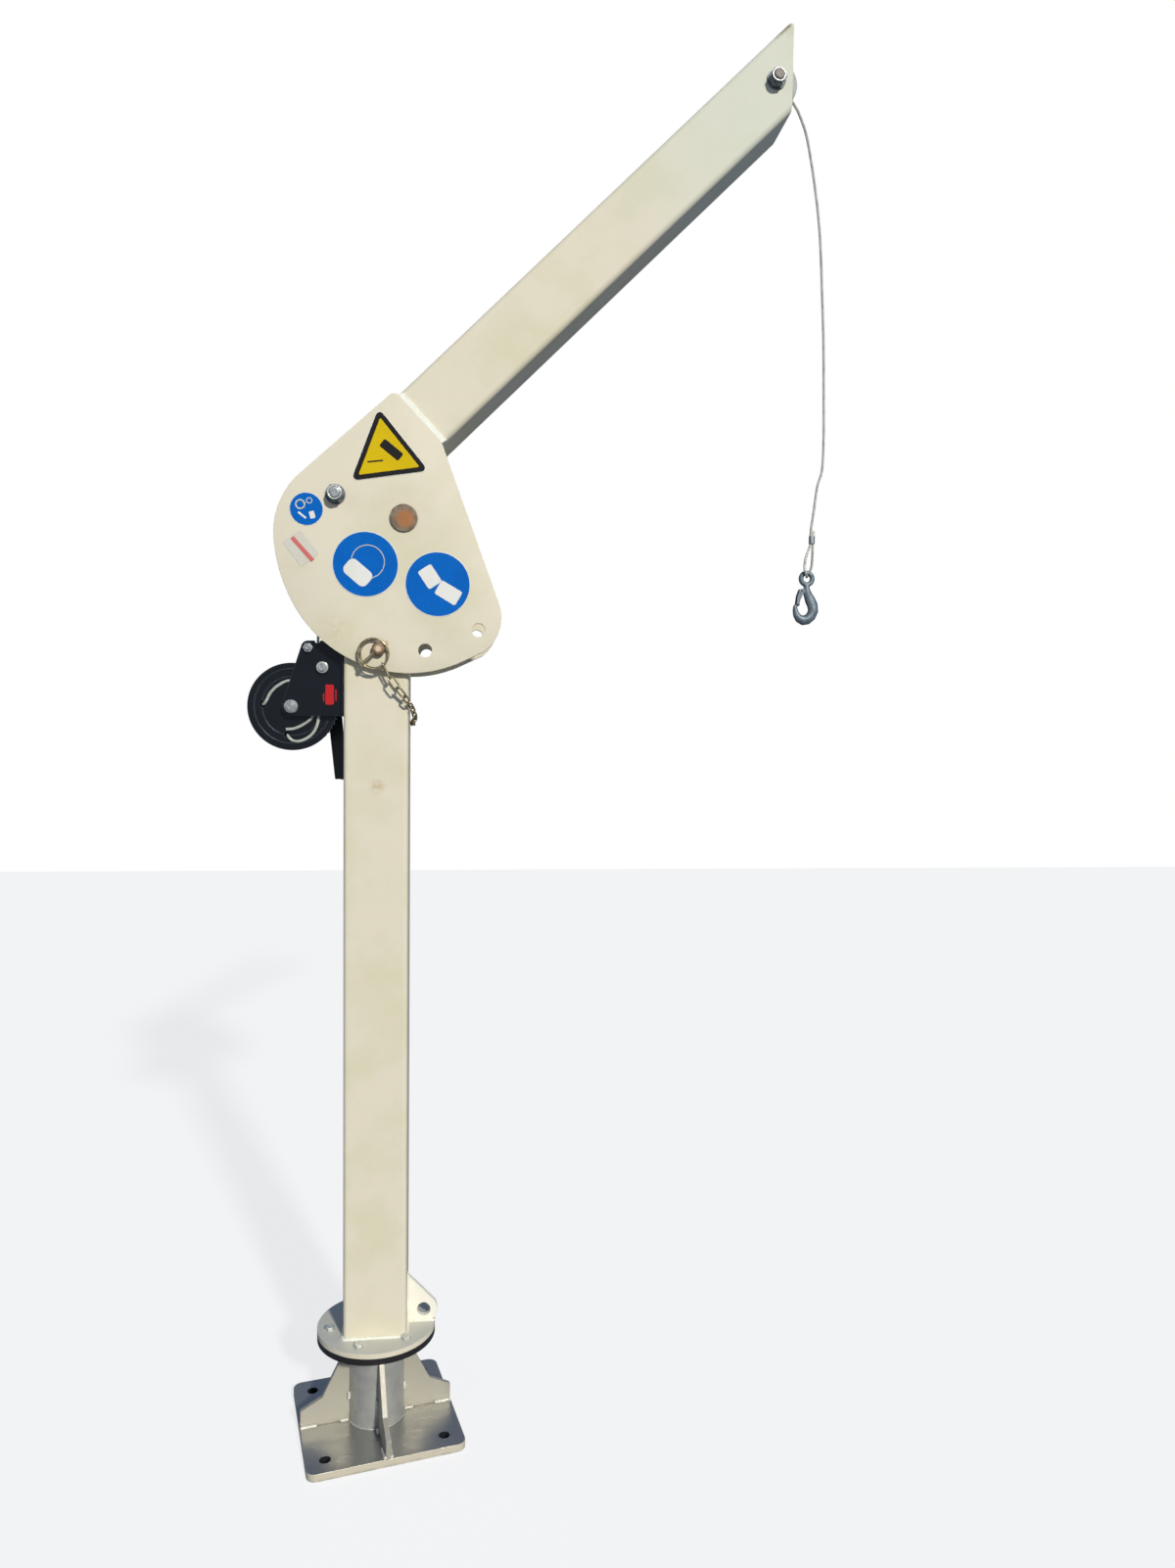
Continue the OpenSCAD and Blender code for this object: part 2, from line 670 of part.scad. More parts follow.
module crank_arm() {
    end = shaft_pos + polar(crank_l, crank_angle);
    color(black) difference() {
        union() {
            upright(crank_y, crank_t) hull() {
                translate(shaft_pos) circle(d = 24, $fn = 32);
                translate(end) rotate(crank_angle) polygon(round_rect(22, 20, 2));
            }
            bar_y(shaft_pos, 26, crank_y - crank_hub_l, crank_y);
        }
        bar_y(shaft_pos, shaft_d, crank_y - 20, crank_y + 20);
    }
}

module crank_grip() {
    end = shaft_pos + polar(crank_l, crank_angle);
    outline = [[0, 0], [9, 0], [11, 4], [14, 30], [14, grip_l - 30], [12, grip_l - 6], [8, grip_l],
        [0, grip_l]];
    color("dimgray") translate([end[0], crank_y + crank_t, end[1]]) rotate([-90, 0, 0])
        rotate_extrude() polygon(outline);
}

// ---- jib ----

// Pear-shaped outline of a head plate about the pivot
function head_outline() =
    let (right = [84.5, -148.5], low = [5.5, -43], mid = [50.5, -18], left = [-72, -27.5])
    concat(arc(right, 66, 20, -53, 12), arc(low, 194, -53, -151, 28), arc(mid, 245.5, -151.2, -175.6, 8),
        arc(left, 122.5, -175.6, -225, 12), arc([-14.5, 175.5], 12, -225, -290, 6), [[57, 117]]);

module head_plate(y) {
    color(cream) difference() {
        upright(y, head_t) translate(pivot) polygon(head_outline());
        bar_y(pivot, pivot_pin_d + 2 * run_gap, y - 1, y + head_t + 1);
        bar_y(roller_pos, axle_d + 2 * bolt_gap, y - 1, y + head_t + 1);
        for (a = lock_steps) bar_y(pivot + polar(lock_r, lock_angle + a), lock_hole_d, y - 1, y + head_t + 1);
    }
}

// Rectangular tube along the boom line, cut plumb at its mouth
module arm_box(w, h, r) {
    foot = pivot + arm_off * side;
    translate([foot[0], 0, foot[1]]) rotate([0, -arm_slope, 0]) translate([-arm_tail, 0, 0])
        rotate([90, 0, 90]) linear_extrude(arm_l + arm_tail + arm_h) polygon(round_rect(w, h, r));
}

module jib_arm() {
    color(cream) difference() {
        arm_box(arm_w, arm_h, arm_corner_r);
        arm_box(arm_w - 2 * arm_wall, arm_h - 2 * arm_wall, arm_corner_r - arm_wall);
        translate([mouth_x, -arm_w, pivot_z]) cube([2 * arm_h, 2 * arm_w, 2 * arm_l]);
        tip_rounding(5);
        bar_y(sheave_pos, axle_d + 2 * bolt_gap, -arm_w, arm_w);
    }
}

// What is ground off the sharp top corner of the mouth to leave a radius of r
module tip_rounding(r) {
    low = (pivot + (arm_off + arm_h / 2 - r) * side);
    c = low + (mouth_x - r - low[0]) / rise[0] * rise;
    upright(-arm_w, 2 * arm_w) polygon(concat(arc(c, r, -2, arm_slope + 92, 12),
        [c + polar(8 * r, arm_slope + 92), c + polar(12 * r, arm_slope), c + polar(8 * r, -2)]));
}

module pivot_pin() {
    color("sienna") bar_y(pivot, pivot_pin_d, -head_out - 3, head_out + 3);
}

// Bolt, nut, washer and two spacers that carry a roller of width w between walls from inner to outer
module axle_bolt(p, inner, outer, w) {
    spacer = w / 2 + slide_gap;
    color("silver") {
        bar_y(p, axle_d, -outer - axle_washer_t - axle_nut_l - 1.5, outer + 1);
        bar_y(p, axle_washer_d, -outer - axle_washer_t, -outer);
        hex_y(p, axle_af, -outer - axle_washer_t - axle_nut_l + 4, -outer - axle_washer_t);
        bar_y(p, axle_af - 2, -outer - axle_washer_t - axle_nut_l, -outer - axle_washer_t - axle_nut_l + 4);
        hex_y(p, axle_af, outer, outer + axle_head_l);
        bar_y(p, spacer_d, -inner, -spacer);
        bar_y(p, spacer_d, spacer, inner);
    }
}

module roller_bolt() {
    axle_bolt(roller_pos, head_in, head_out, roller_w);
}

module sheave_bolt() {
    axle_bolt(sheave_pos, head_in - arm_wall, head_in, sheave_w);
}

// Grooved roller about the Y axis
module grooved(p, d, w, groove) {
    r = d / 2;
    color(steel) translate([p[0], -w / 2, p[1]]) rotate([-90, 0, 0]) rotate_extrude($fn = fine)
        polygon([[axle_d / 2 + run_gap, 0], [r - 1, 0], [r, 1], [r, w / 2 - 13], [r - groove, w / 2 - 9],
            [r - groove, w / 2 + 9], [r, w / 2 + 13], [r, w - 1], [r - 1, w], [axle_d / 2 + run_gap, w]]);
}

module guide_roller() {
    grooved(roller_pos, roller_d, roller_w, roller_groove);
}

module tip_sheave() {
    grooved(sheave_pos, sheave_d, sheave_w, sheave_groove);
}

// ---- ropes ----

module lead_rope() {
    low = drum_pos + polar(lead_r, lead_lean());
    high = roller_pos + polar(roller_rope_r, lead_lean() + 180);
    color("silver") rope([low, (low + high) / 2, high]);
}

// Direction from the drum's axle to the point where the rope leaves it, on an inner tangent to the roller
function lead_lean() = let (d = roller_pos - drum_pos)
    atan2(d[1], d[0]) - acos((lead_r + roller_rope_r) / norm(d));

module jib_rope() {
    up = rope_slope + 90;
    color("silver") rope(concat(
        arc(roller_pos, roller_rope_r, lead_lean() + 178, up, 6),
        [roller_pos + polar(roller_rope_r, up) + 0.5 * rope_run
            + 0.5 * polar(sheave_rope_r - roller_rope_r, up)],
        arc(sheave_pos, sheave_rope_r, up, luff_range + rope_leave + 2, 12)));
}

module hanging_rope() {
    color("silver") rope(concat([sheave_pos + polar(sheave_rope_r, rope_leave)], rope_route));
}

// Pressed oval sleeve, with the rope's cut end above it
module rope_ferrule() {
    color("dimgray") {
        translate([0, 0, ferrule_z]) linear_extrude(ferrule_l) hull()
            for (x = [708.85, 712]) translate([x, 0]) circle(d = 7);
        translate([713.3, 0, ferrule_z + ferrule_l]) cylinder(d = rope_d, h = 8.5);
    }
}

module rope_eye() {
    color("silver") swept(eye_route, [for (p = eye_route) [rope_d, rope_d] / 2], 8, [1, 0, 0]);
}

// Eye hook with the lug and the rivet of its latch
module hook() {
    color("slategray") {
        translate([hook_eye[0], 0, hook_eye[1]]) rotate([90, 0, 0]) rotate_extrude()
            translate([9.7, 0]) circle(d = 8.4, $fn = 24);
        swept([for (p = hook_bend) [p[0], 0, p[1]]], [for (p = hook_bend) [p[2], p[3]]], 16, [0, 1, 0]);
        upright(-3.5, 7) hull() {
            translate(latch_pos) circle(d = 8);
            translate(latch_pos + [5, -4]) square([3, 8]);
        }
        bar_y(latch_pos, rivet_d, -6, 6);
    }
}

// Sheet latch with a tongue between two cheeks
module hook_latch() {
    color("silver") {
        for (y = [-5.4, 4.2]) difference() {
            upright(y, 1.2) hull() {
                translate(latch_pos) circle(d = 8);
                translate(latch_pos - [3.5, 9]) circle(d = 7);
                translate(latch_pos - [6.4, 20]) circle(d = 4);
            }
            bar_y(latch_pos, rivet_d + 2 * run_gap, y - 1, y + 2);
        }
        upright(-5.4, 10.8) hull() {
            translate(latch_pos - [2.8, 9]) circle(d = 1.6);
            translate(latch_pos - [4.2, 24]) circle(d = 1.6);
        }
    }
}

base_plate();
pedestal_tube();
gusset(-90);  // gusset_front
gusset(0);  // gusset_right
gusset(90);  // gusset_back
gusset(180);  // gusset_left
slew_bush();
slip_disc();
slew_flange();
slew_spigot();
flange_bolts();
flange_nuts();
column_tube();
column_cap();
pivot_boss();
pivot_washers();
lashing_lug();
lock_pin();
lock_pin_ring();
pin_chain();
winch_frame();
winch_bolts();
winch_tie_bolt();
drum_axle();
winch_drum();
drum_gear();
drum_rope();
drive_shaft();
crank_arm();
crank_grip();
head_plate(-head_out);  // head_plate_front
head_plate(head_in);  // head_plate_back
jib_arm();
pivot_pin();
roller_bolt();
sheave_bolt();
guide_roller();
tip_sheave();
lead_rope();
jib_rope();
hanging_rope();
rope_ferrule();
rope_eye();
hook();
hook_latch();
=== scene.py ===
# %% [markdown]
# # A hand-operated jib crane
# This notebook dresses a finished set of CAD parts for a small davit crane. A square column turns on a
# flanged foot, a box-section jib is hinged to its top between two head plates, and a hand winch pays out a
# thin wire rope. The CAD parts give every size. The cells below add the camera, the light, the finishes and
# the small pieces that CAD leaves out: laid ropes, weld beads, screw threads and coloured discs.

# %% Load the crane
import bpy, bmesh, json, math
from mathutils import Matrix, Vector


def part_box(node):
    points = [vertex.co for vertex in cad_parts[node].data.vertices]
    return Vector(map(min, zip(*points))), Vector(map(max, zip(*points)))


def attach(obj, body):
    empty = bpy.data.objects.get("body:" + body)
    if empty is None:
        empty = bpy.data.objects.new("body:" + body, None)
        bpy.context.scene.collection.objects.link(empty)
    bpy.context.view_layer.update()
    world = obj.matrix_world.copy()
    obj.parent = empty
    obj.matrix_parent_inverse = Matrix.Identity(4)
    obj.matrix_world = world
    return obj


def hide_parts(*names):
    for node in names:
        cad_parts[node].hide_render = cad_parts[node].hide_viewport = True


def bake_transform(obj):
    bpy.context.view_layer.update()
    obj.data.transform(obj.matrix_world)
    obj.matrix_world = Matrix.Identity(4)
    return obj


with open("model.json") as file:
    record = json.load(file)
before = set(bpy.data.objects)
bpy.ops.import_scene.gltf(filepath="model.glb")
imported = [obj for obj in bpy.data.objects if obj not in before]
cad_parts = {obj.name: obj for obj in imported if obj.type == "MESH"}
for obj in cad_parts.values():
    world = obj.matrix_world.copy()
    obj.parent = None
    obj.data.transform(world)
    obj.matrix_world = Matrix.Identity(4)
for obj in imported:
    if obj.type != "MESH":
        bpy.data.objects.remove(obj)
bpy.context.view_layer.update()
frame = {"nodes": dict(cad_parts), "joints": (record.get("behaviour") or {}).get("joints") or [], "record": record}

# %% [markdown]
# ## Sizes used again and again
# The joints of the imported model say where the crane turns: the jib's pivot, the winch drum, the guide
# roller and the tip sheave. Reading them here means that a new piece lands on the CAD part that it belongs
# to. Everything is in metres, and `MM` turns a drawing size into metres.

# %% Sizes from the model
MM = 0.001
joints = {j["name"]: j for j in frame["joints"]}


def joint_at(name):
    x, _, z = joints[name]["pos_m"]
    return Vector((x, 0.0, z))


PIVOT, DRUM, CRANK, ROLLER, SHEAVE = [joint_at(n) for n in ("luff", "drum", "crank", "roller", "sheave")]
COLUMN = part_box("column_tube")[1].x
PLATE_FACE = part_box("head_plate_front")[0].y
FLANGE_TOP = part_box("slew_flange")[1].z
BASE_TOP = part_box("base_plate")[1].z
TUBE_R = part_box("pedestal_tube")[1].x
ROPE_D, ROPE_LAY = 4.5 * MM, 30 * MM
BASE_TURN, HOLE_CIRCLE = 12.5, 132  # degrees and millimetres, as in the base plate's drawing
print("pivot", PIVOT[:], "half column", round(COLUMN, 4), "plate face", round(PLATE_FACE, 4))

# %% [markdown]
# ## Camera
# The crane is seen from chest height, a little to the left of its middle, with a wide lens held upright. A
# camera looks along its own -Z, so the three turns below are, from right to left: the small tilt of the
# frame, the look from lying flat up to the horizon, and the turn about the vertical.

# %% Camera
TURN, DOWN, ROLL = -7.2557, 2.9227, 0.6932
lens = bpy.data.cameras.new("camera")
lens.lens, lens.sensor_width = 25.172, 36.0
camera = bpy.data.objects.new("camera", lens)
bpy.context.scene.collection.objects.link(camera)
look = (Matrix.Rotation(math.radians(TURN), 4, "Z") @ Matrix.Rotation(math.radians(90 - DOWN), 4, "X")
        @ Matrix.Rotation(math.radians(ROLL), 4, "Z"))
camera.matrix_world = Matrix.Translation((0.11174, -1.78331, 1.14417)) @ look
bpy.context.scene.camera = camera
print("camera at", [round(v, 3) for v in camera.matrix_world.translation])

# %% [markdown]
# ## Working by operators
# Blender's operators act on whatever is selected, so each step starts from an empty selection. `pick`
# selects faces or edges of the piece in hand by a test on their place, just as a click would. `settle` puts
# a finished piece's place into its mesh, so that its object sits at the origin like the CAD parts, and ties
# it to a moving body.

# %% Helpers for selecting
def add(name, data):
    """A new object with the given data, linked to the scene."""
    made = bpy.data.objects.new(name, data)
    bpy.context.scene.collection.objects.link(made)
    return made


def clear():
    if bpy.context.mode != "OBJECT":
        bpy.ops.object.mode_set(mode="OBJECT")
    bpy.ops.object.select_all(action="DESELECT")


def only(piece):
    clear()
    piece.select_set(True)
    bpy.context.view_layer.objects.active = piece
    return piece


def pick(piece, test, kind="faces"):
    """Selects the faces, edges or vertices of the piece in edit mode that pass the test."""
    if bpy.context.mode != "EDIT_MESH":
        bpy.ops.object.mode_set(mode="EDIT")
    bpy.ops.mesh.select_mode(type={"faces": "FACE", "edges": "EDGE", "verts": "VERT"}[kind])
    bpy.ops.mesh.select_all(action="DESELECT")
    work = bmesh.from_edit_mesh(piece.data)
    for part in getattr(work, kind):
        part.select_set(bool(test(part)))
    bmesh.update_edit_mesh(piece.data)


print("select with: add, clear, only, pick")


# %% Helpers for finishing a piece
def finish_mesh(piece, angle):
    """Merges doubles, turns the faces outwards and smooths the shallow edges."""
    only(piece)
    bpy.ops.object.mode_set(mode="EDIT")
    bpy.ops.mesh.select_all(action="SELECT")
    bpy.ops.mesh.remove_doubles(threshold=0.00001)
    bpy.ops.mesh.normals_make_consistent(inside=False)
    bpy.ops.object.mode_set(mode="OBJECT")
    bpy.ops.object.shade_smooth_by_angle(angle=math.radians(angle))


def apply_all(piece):
    only(piece)
    for m in list(piece.modifiers):
        bpy.ops.object.modifier_apply(modifier=m.name)


def apply_turn(piece, place=True):
    """Puts the piece's turn and scale, and its place too unless told otherwise, into its mesh."""
    only(piece)
    bpy.ops.object.transform_apply(location=place, rotation=True, scale=True)


def settle(piece, name, body=None, finish=None):
    """Puts the piece's place into its mesh, names it and ties it to a body."""
    apply_turn(piece)
    piece.name = piece.data.name = name
    if finish is not None:
        piece.data.materials.clear()
        piece.data.materials.append(finish)
    if body:
        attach(piece, body)
    return piece


def from_faces(name, work, angle=None):
    """Makes an object of the faces gathered in a bmesh, smooth where they meet at less than the angle."""
    mesh = bpy.data.meshes.new(name)
    work.to_mesh(mesh)
    work.free()
    made = only(add(name, mesh))
    if angle:
        bpy.ops.object.shade_smooth_by_angle(angle=math.radians(angle))
    return made


print("finish with: finish_mesh, apply_all, apply_turn, settle, from_faces")

# %% [markdown]
# ## Laid wire rope
# The crane's rope is thin steel wire: six strands twisted about a core, one full twist about every 30 mm.
# It could be a plain tube with a bump pattern, but the outline of a real rope is lumpy and catches the
# light along each strand, so every strand is a thin tube of its own that winds round the rope's line.
# `smooth_path` turns a few points into an even line, and `laid_rope` winds the strands along it.

# %% Paths
def smooth_path(points, step):
    """Even points along a smooth curve through the given points."""
    p = [Vector(q) for q in points]
    p = [2 * p[0] - p[1]] + p + [2 * p[-1] - p[-2]]
    line = []
    for a, b, c, d in zip(p, p[1:], p[2:], p[3:]):
        n = max(2, int((c - b).length / (step / 4)))
        for i in range(n):
            t = i / n
            line.append(0.5 * (2 * b + (c - a) * t + (2 * a - 5 * b + 4 * c - d) * t * t
                               + (3 * b - a - 3 * c + d) * t ** 3))
    return even_path(line + [p[-2]], step)


def even_path(line, step):
    total = path_length(line)
    gap = total / max(1, round(total / step))
    out, need = [line[0]], gap
    for a, b in zip(line, line[1:]):
        span, done = (b - a).length, 0.0
        while span - done >= need - 1e-9:
            done += need
            out.append(a.lerp(b, done / span))
            need = gap
        need -= span - done
    if (out[-1] - line[-1]).length > gap / 2:
        out.append(line[-1].copy())
    out[-1] = line[-1].copy()
    return out


def path_length(line):
    return sum((b - a).length for a, b in zip(line, line[1:]))


def about(centre, radius, angle):
    """The point at that radius and angle, in degrees, from a centre in the plane of the jib."""
    a = math.radians(angle)
    return Vector((centre.x + radius * math.cos(a), centre.y, centre.z + radius * math.sin(a)))


def arc_path(centre, radius, start, end, steps):
    return [about(centre, radius, start + (end - start) * i / steps) for i in range(steps + 1)]


quarter_turn = arc_path(PIVOT, 10 * MM, 0, 90, 30)
print("a quarter turn at 10 mm is", round(path_length(quarter_turn) / MM, 2), "mm long")


# %% Laid rope
def laid_rope(name, line, sides=6, core=True):
    """A mesh of six strands and a core that wind along the line."""
    r = ROPE_D / 6
    way = [(b - a).normalized() for a, b in zip(line, line[1:])]
    way.append(way[-1])
    side = way[0].orthogonal().normalized()
    tube = bmesh.new()
    rows, run = [[] for _ in range(7)], 0.0
    for i, (p, t) in enumerate(zip(line, way)):
        side = (side - t * side.dot(t)).normalized()
        up = t.cross(side)
        run += (p - line[i - 1]).length if i else 0.0
        for k in range(7 if core else 6):
            a = math.tau * (run / ROPE_LAY + k / 6)
            c = p if k == 6 else p + 2 * r * (math.cos(a) * side + math.sin(a) * up)
            rows[k].append([tube.verts.new(c + r * (math.cos(b) * side + math.sin(b) * up))
                            for b in (math.tau * s / sides for s in range(sides))])
    for rings in rows:
        for low, high in zip(rings, rings[1:]):
            for s in range(sides):
                tube.faces.new((low[s], low[(s + 1) % sides], high[(s + 1) % sides], high[s]))
        if rings:
            tube.faces.new(rings[0][::-1])
            tube.faces.new(rings[-1])
    return from_faces(name, tube, 50)


print("strands of", round(ROPE_D / 3 / MM, 2), "mm, one turn in", round(ROPE_LAY / MM), "mm")


# %% [markdown]
# ## The hanging rope
# The free rope leaves the tip sheave and hangs in a shallow bow, because a short stiff wire keeps some of
# the curl of its drum. Its whole length shows, from the sheave to the pressed ferrule above the hook. It
# swings as one piece with the hook, so it is tied to the hook's body.

# %% Hanging rope
SHEAVE_ROPE_R = 38.25 * MM
LEAVES_TIP = 31
start = about(SHEAVE, SHEAVE_ROPE_R, LEAVES_TIP)
rope_points = [start] + [Vector((x * MM, 0, z * MM)) for x, z in (
    (661, 2166.5), (672.5, 2148.5), (685.7, 2116), (696, 2070), (703, 2030), (709, 1990), (714, 1942),
    (719, 1860), (723, 1784), (725.5, 1700), (727, 1625), (725.5, 1577), (718, 1549), (712, 1502),
    (709.4, 1484), (708.3, 1471), (708.3, 1467.5))]
rope_line = smooth_path(rope_points, 1.8 * MM)
hanging = laid_rope("rope_hanging", rope_line)
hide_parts("hanging_rope")
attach(hanging, "hook_line")
print("hanging rope", round(path_length(rope_line), 3), "m")

# %% [markdown]
# ## Forged hook
# The CAD hook is swept in flat-sided steps, and a forging has none. It could be modelled again by
# subdivision, but its shape is right and only its flats are wrong. So a copy of its mesh is remeshed into
# small even faces, and a smooth modifier melts the flats into one another. The copy stands for the CAD
# hook, which stays as it is.

# %% Smooth hook
nodes = frame["nodes"]
forged = add("hook_forged", nodes["hook"].data.copy())
even = forged.modifiers.new("even_faces", "REMESH")
even.mode, even.voxel_size = "VOXEL", 0.75 * MM
melt = forged.modifiers.new("melted_flats", "SMOOTH")
melt.factor, melt.iterations = 0.5, 30
apply_all(forged)
finish_mesh(forged, 60)
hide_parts("hook")
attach(forged, "hook_line")
print("hook faces:", len(forged.data.polygons))

# %% Rope eye
eye_points = [Vector((x * MM, y * MM, z * MM)) for x, y, z in (
    (707.8, 0, 1455), (707.8, 0, 1452), (703.5, -1.5, 1441), (699.3, -4, 1430), (697, -6.5, 1417),
    (697.3, -7.8, 1409), (699.3, -7, 1404), (701.3, -4.5, 1401), (703, 0, 1400), (704.8, 4.5, 1401),
    (707.5, 7, 1404), (711, 7.8, 1410), (713, 6, 1418), (713.3, 3.5, 1431), (712.6, 1, 1443),
    (712.4, 0, 1452), (712.4, 0, 1455))]
eye = laid_rope("rope_eye_strands", smooth_path(eye_points, 1.4 * MM))
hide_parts("rope_eye")
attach(eye, "hook_line")
print("eye and hook hang on it")

# %% [markdown]
# ## Light, floor and backdrop
# A distant lamp in front, a little to the right and not very high, gives the bright faces and a soft shadow
# on the flange. The upright faces get more of it than the level ones. A weaker lamp on the left and a sky
# that is pale at the horizon and blue above fill the shadows with a cooler tone, and give the metals
# something to mirror. The floor is plain and pale: seen straight it is lifted to white, and it still takes
# the crane's shadow.

# %% Nodes in few words
def feed(tree, made, values):
    """Sets the inputs of a node to plain values, or links them to the outputs of other nodes."""
    for key, value in values.items():
        if isinstance(value, bpy.types.NodeSocket):
            tree.links.new(value, made.inputs[key])
        else:
            made.inputs[key].default_value = value
    return made


def put(tree, kind, values=None, **settings):
    """Adds a shader node with its settings and inputs."""
    made = tree.nodes.new("ShaderNode" + kind)
    for key, value in settings.items():
        setattr(made, key, value)
    return feed(tree, made, values or {})


def mixed_colour(tree, factor, below, above):
    return put(tree, "Mix", {0: factor, 6: below, 7: above}, data_type="RGBA").outputs[2]


def paint(card):
    """A colour given as on a paint card, 0 to 255, turned into the linear light that shaders use."""
    return tuple((c / 255 / 12.92) if c <= 10 else ((c / 255 + 0.055) / 1.055) ** 2.4 for c in card) + (1.0,)


print("card grey 128 is", round(paint((128, 128, 128))[0], 3), "in linear light")


# %% Lamps and sky
def lamp(name, direction, strength, angle, colour):
    """A distant lamp whose light travels in the given direction."""
    data = bpy.data.lights.new(name, "SUN")
    data.energy, data.angle, data.color = strength, math.radians(angle), colour
    made = add(name, data)
    made.matrix_world = (Matrix.Translation(-4 * Vector(direction))
                         @ Vector(direction).to_track_quat("-Z", "Y").to_matrix().to_4x4())


lamp("key", (-0.30, 0.82, -0.49), 2.95, 4, (1.0, 0.975, 0.93))
lamp("fill", (0.75, 0.55, -0.25), 0.14, 40, (0.80, 0.90, 1.0))

world = bpy.data.worlds.new("sky")
world.use_nodes = True
bpy.context.scene.world = world
sky = world.node_tree
sky.nodes.clear()
path = put(sky, "LightPath")
seen = put(sky, "Math", {0: path.outputs["Is Camera Ray"], 1: path.outputs["Is Transmission Ray"]},
           operation="MAXIMUM")
place = put(sky, "TexCoord")
apart = put(sky, "SeparateXYZ", {0: place.outputs["Generated"]})
height = put(sky, "MapRange", {"Value": apart.outputs["Z"], "From Min": -0.1, "From Max": 0.8})
blue = mixed_colour(sky, height.outputs[0], (0.27, 0.30, 0.35, 1.0), (0.07, 0.12, 0.24, 1.0))
soft = put(sky, "Background", {"Color": blue, "Strength": 1.0})
white = put(sky, "Background", {"Color": (1.0, 1.0, 1.0, 1.0), "Strength": 1.0})
both = put(sky, "MixShader", {0: seen.outputs[0], 1: soft.outputs[0], 2: white.outputs[0]})
put(sky, "OutputWorld", {"Surface": both.outputs[0]})
bpy.context.scene.view_settings.view_transform = "Standard"

# %% Floor
floor_paint = bpy.data.materials.new("floor_white")
floor_paint.use_nodes = True
tree = floor_paint.node_tree
tree.nodes.clear()
path = put(tree, "LightPath")
lift = put(tree, "Math", {0: path.outputs["Is Camera Ray"], 1: 0.78}, operation="MULTIPLY")
pale = mixed_colour(tree, path.outputs["Is Camera Ray"], (0.25, 0.27, 0.31, 1.0), (0.86, 0.86, 0.86, 1.0))
matt = put(tree, "BsdfDiffuse", {"Color": pale})
glow = put(tree, "Emission", {"Color": (1.0, 1.0, 1.0, 1.0), "Strength": 1.0})
mixed = put(tree, "MixShader", {0: lift.outputs[0], 1: matt.outputs[0], 2: glow.outputs[0]})
put(tree, "OutputMaterial", {"Surface": mixed.outputs[0]})
clear()
bpy.ops.mesh.primitive_plane_add(size=14, location=(0, 0, -0.0005))
floor = settle(bpy.context.object, "floor", finish=floor_paint)
print("light and floor set")

# %% [markdown]
# ## Shared surface effects
# A real surface is never one flat colour. Four small node groups are shared by the finishes: slow cloudy
# change, fine grain, edges, whose colour is wear and a painted highlight, and corners, where ambient
# occlusion lays dirt and painted shade. Each gives a mask or a normal, and the shader itself stays in the
# material, where the gloss is set.

# %% Group helpers
def group(name, inputs, outputs):
    tree = bpy.data.node_groups.new(name, "ShaderNodeTree")
    for label, kind, value in inputs:
        socket = tree.interface.new_socket(label, in_out="INPUT", socket_type=kind)
        if value is not None:
            socket.default_value = value
    for label, kind in outputs:
        tree.interface.new_socket(label, in_out="OUTPUT", socket_type=kind)
    return tree, tree.nodes.new("NodeGroupInput"), tree.nodes.new("NodeGroupOutput")


def use(tree, shared, values=None):
    return feed(tree, put(tree, "Group", node_tree=shared), values or {})


FLOAT, VECTOR = "NodeSocketFloat", "NodeSocketVector"
EVEN = (1, 1, 1)
print("group helpers ready")


# %% Clouds: slow change over a surface
clouds, inlet, outlet = group(
    "clouds", [("Scale", FLOAT, 8.0), ("Low", FLOAT, 0.4), ("High", FLOAT, 0.65)], [("Mask", FLOAT)])
place = put(clouds, "TexCoord")
turned = put(clouds, "Mapping", {"Vector": place.outputs["Object"], "Rotation": (0.4, 0.3, 0.2)})
noise = put(clouds, "TexNoise", {"Vector": turned.outputs[0], "Scale": inlet.outputs["Scale"],
                                 "Detail": 5.0, "Roughness": 0.6})
band = put(clouds, "MapRange", {"Value": noise.outputs["Fac"], "From Min": inlet.outputs["Low"],
                                "From Max": inlet.outputs["High"]}, interpolation_type="SMOOTHSTEP")
clouds.links.new(band.outputs[0], outlet.inputs["Mask"])
print("clouds:", len(clouds.nodes), "nodes")

# %% Edges: where a corner is sharp, with a rounded normal
edges, inlet, outlet = group("edges", [("Radius", FLOAT, 0.0012)], [("Mask", FLOAT), ("Normal", VECTOR)])
soft_corner = put(edges, "Bevel", {"Radius": inlet.outputs["Radius"]}, samples=4)
true_face = put(edges, "NewGeometry")
same = put(edges, "VectorMath", {0: soft_corner.outputs[0], 1: true_face.outputs["Normal"]},
           operation="DOT_PRODUCT")
sharp = put(edges, "MapRange", {"Value": same.outputs["Value"], "From Min": 0.98, "From Max": 0.75})
edges.links.new(sharp.outputs[0], outlet.inputs["Mask"])
edges.links.new(soft_corner.outputs[0], outlet.inputs["Normal"])
print("edges:", len(edges.nodes), "nodes")

# %% Corners: where dirt gathers and shade falls, for dirt and painted shade
corners, inlet, outlet = group("corners", [("Distance", FLOAT, 0.02)], [("Mask", FLOAT)])
# Ambient occlusion finds where the surface is closed in, so the colour laid there is painted shade as well as
# dirt.
shade = put(corners, "AmbientOcclusion", {"Distance": inlet.outputs["Distance"]}, samples=4)
deep = put(corners, "MapRange", {"Value": shade.outputs["AO"], "From Min": 0.75, "From Max": 0.25})
dust = use(corners, clouds, {"Scale": 60.0, "Low": 0.3, "High": 0.7})
mixed = put(corners, "Math", {0: deep.outputs[0], 1: dust.outputs[0]}, operation="MULTIPLY")
corners.links.new(mixed.outputs[0], outlet.inputs["Mask"])
print("corners:", len(corners.nodes), "nodes")

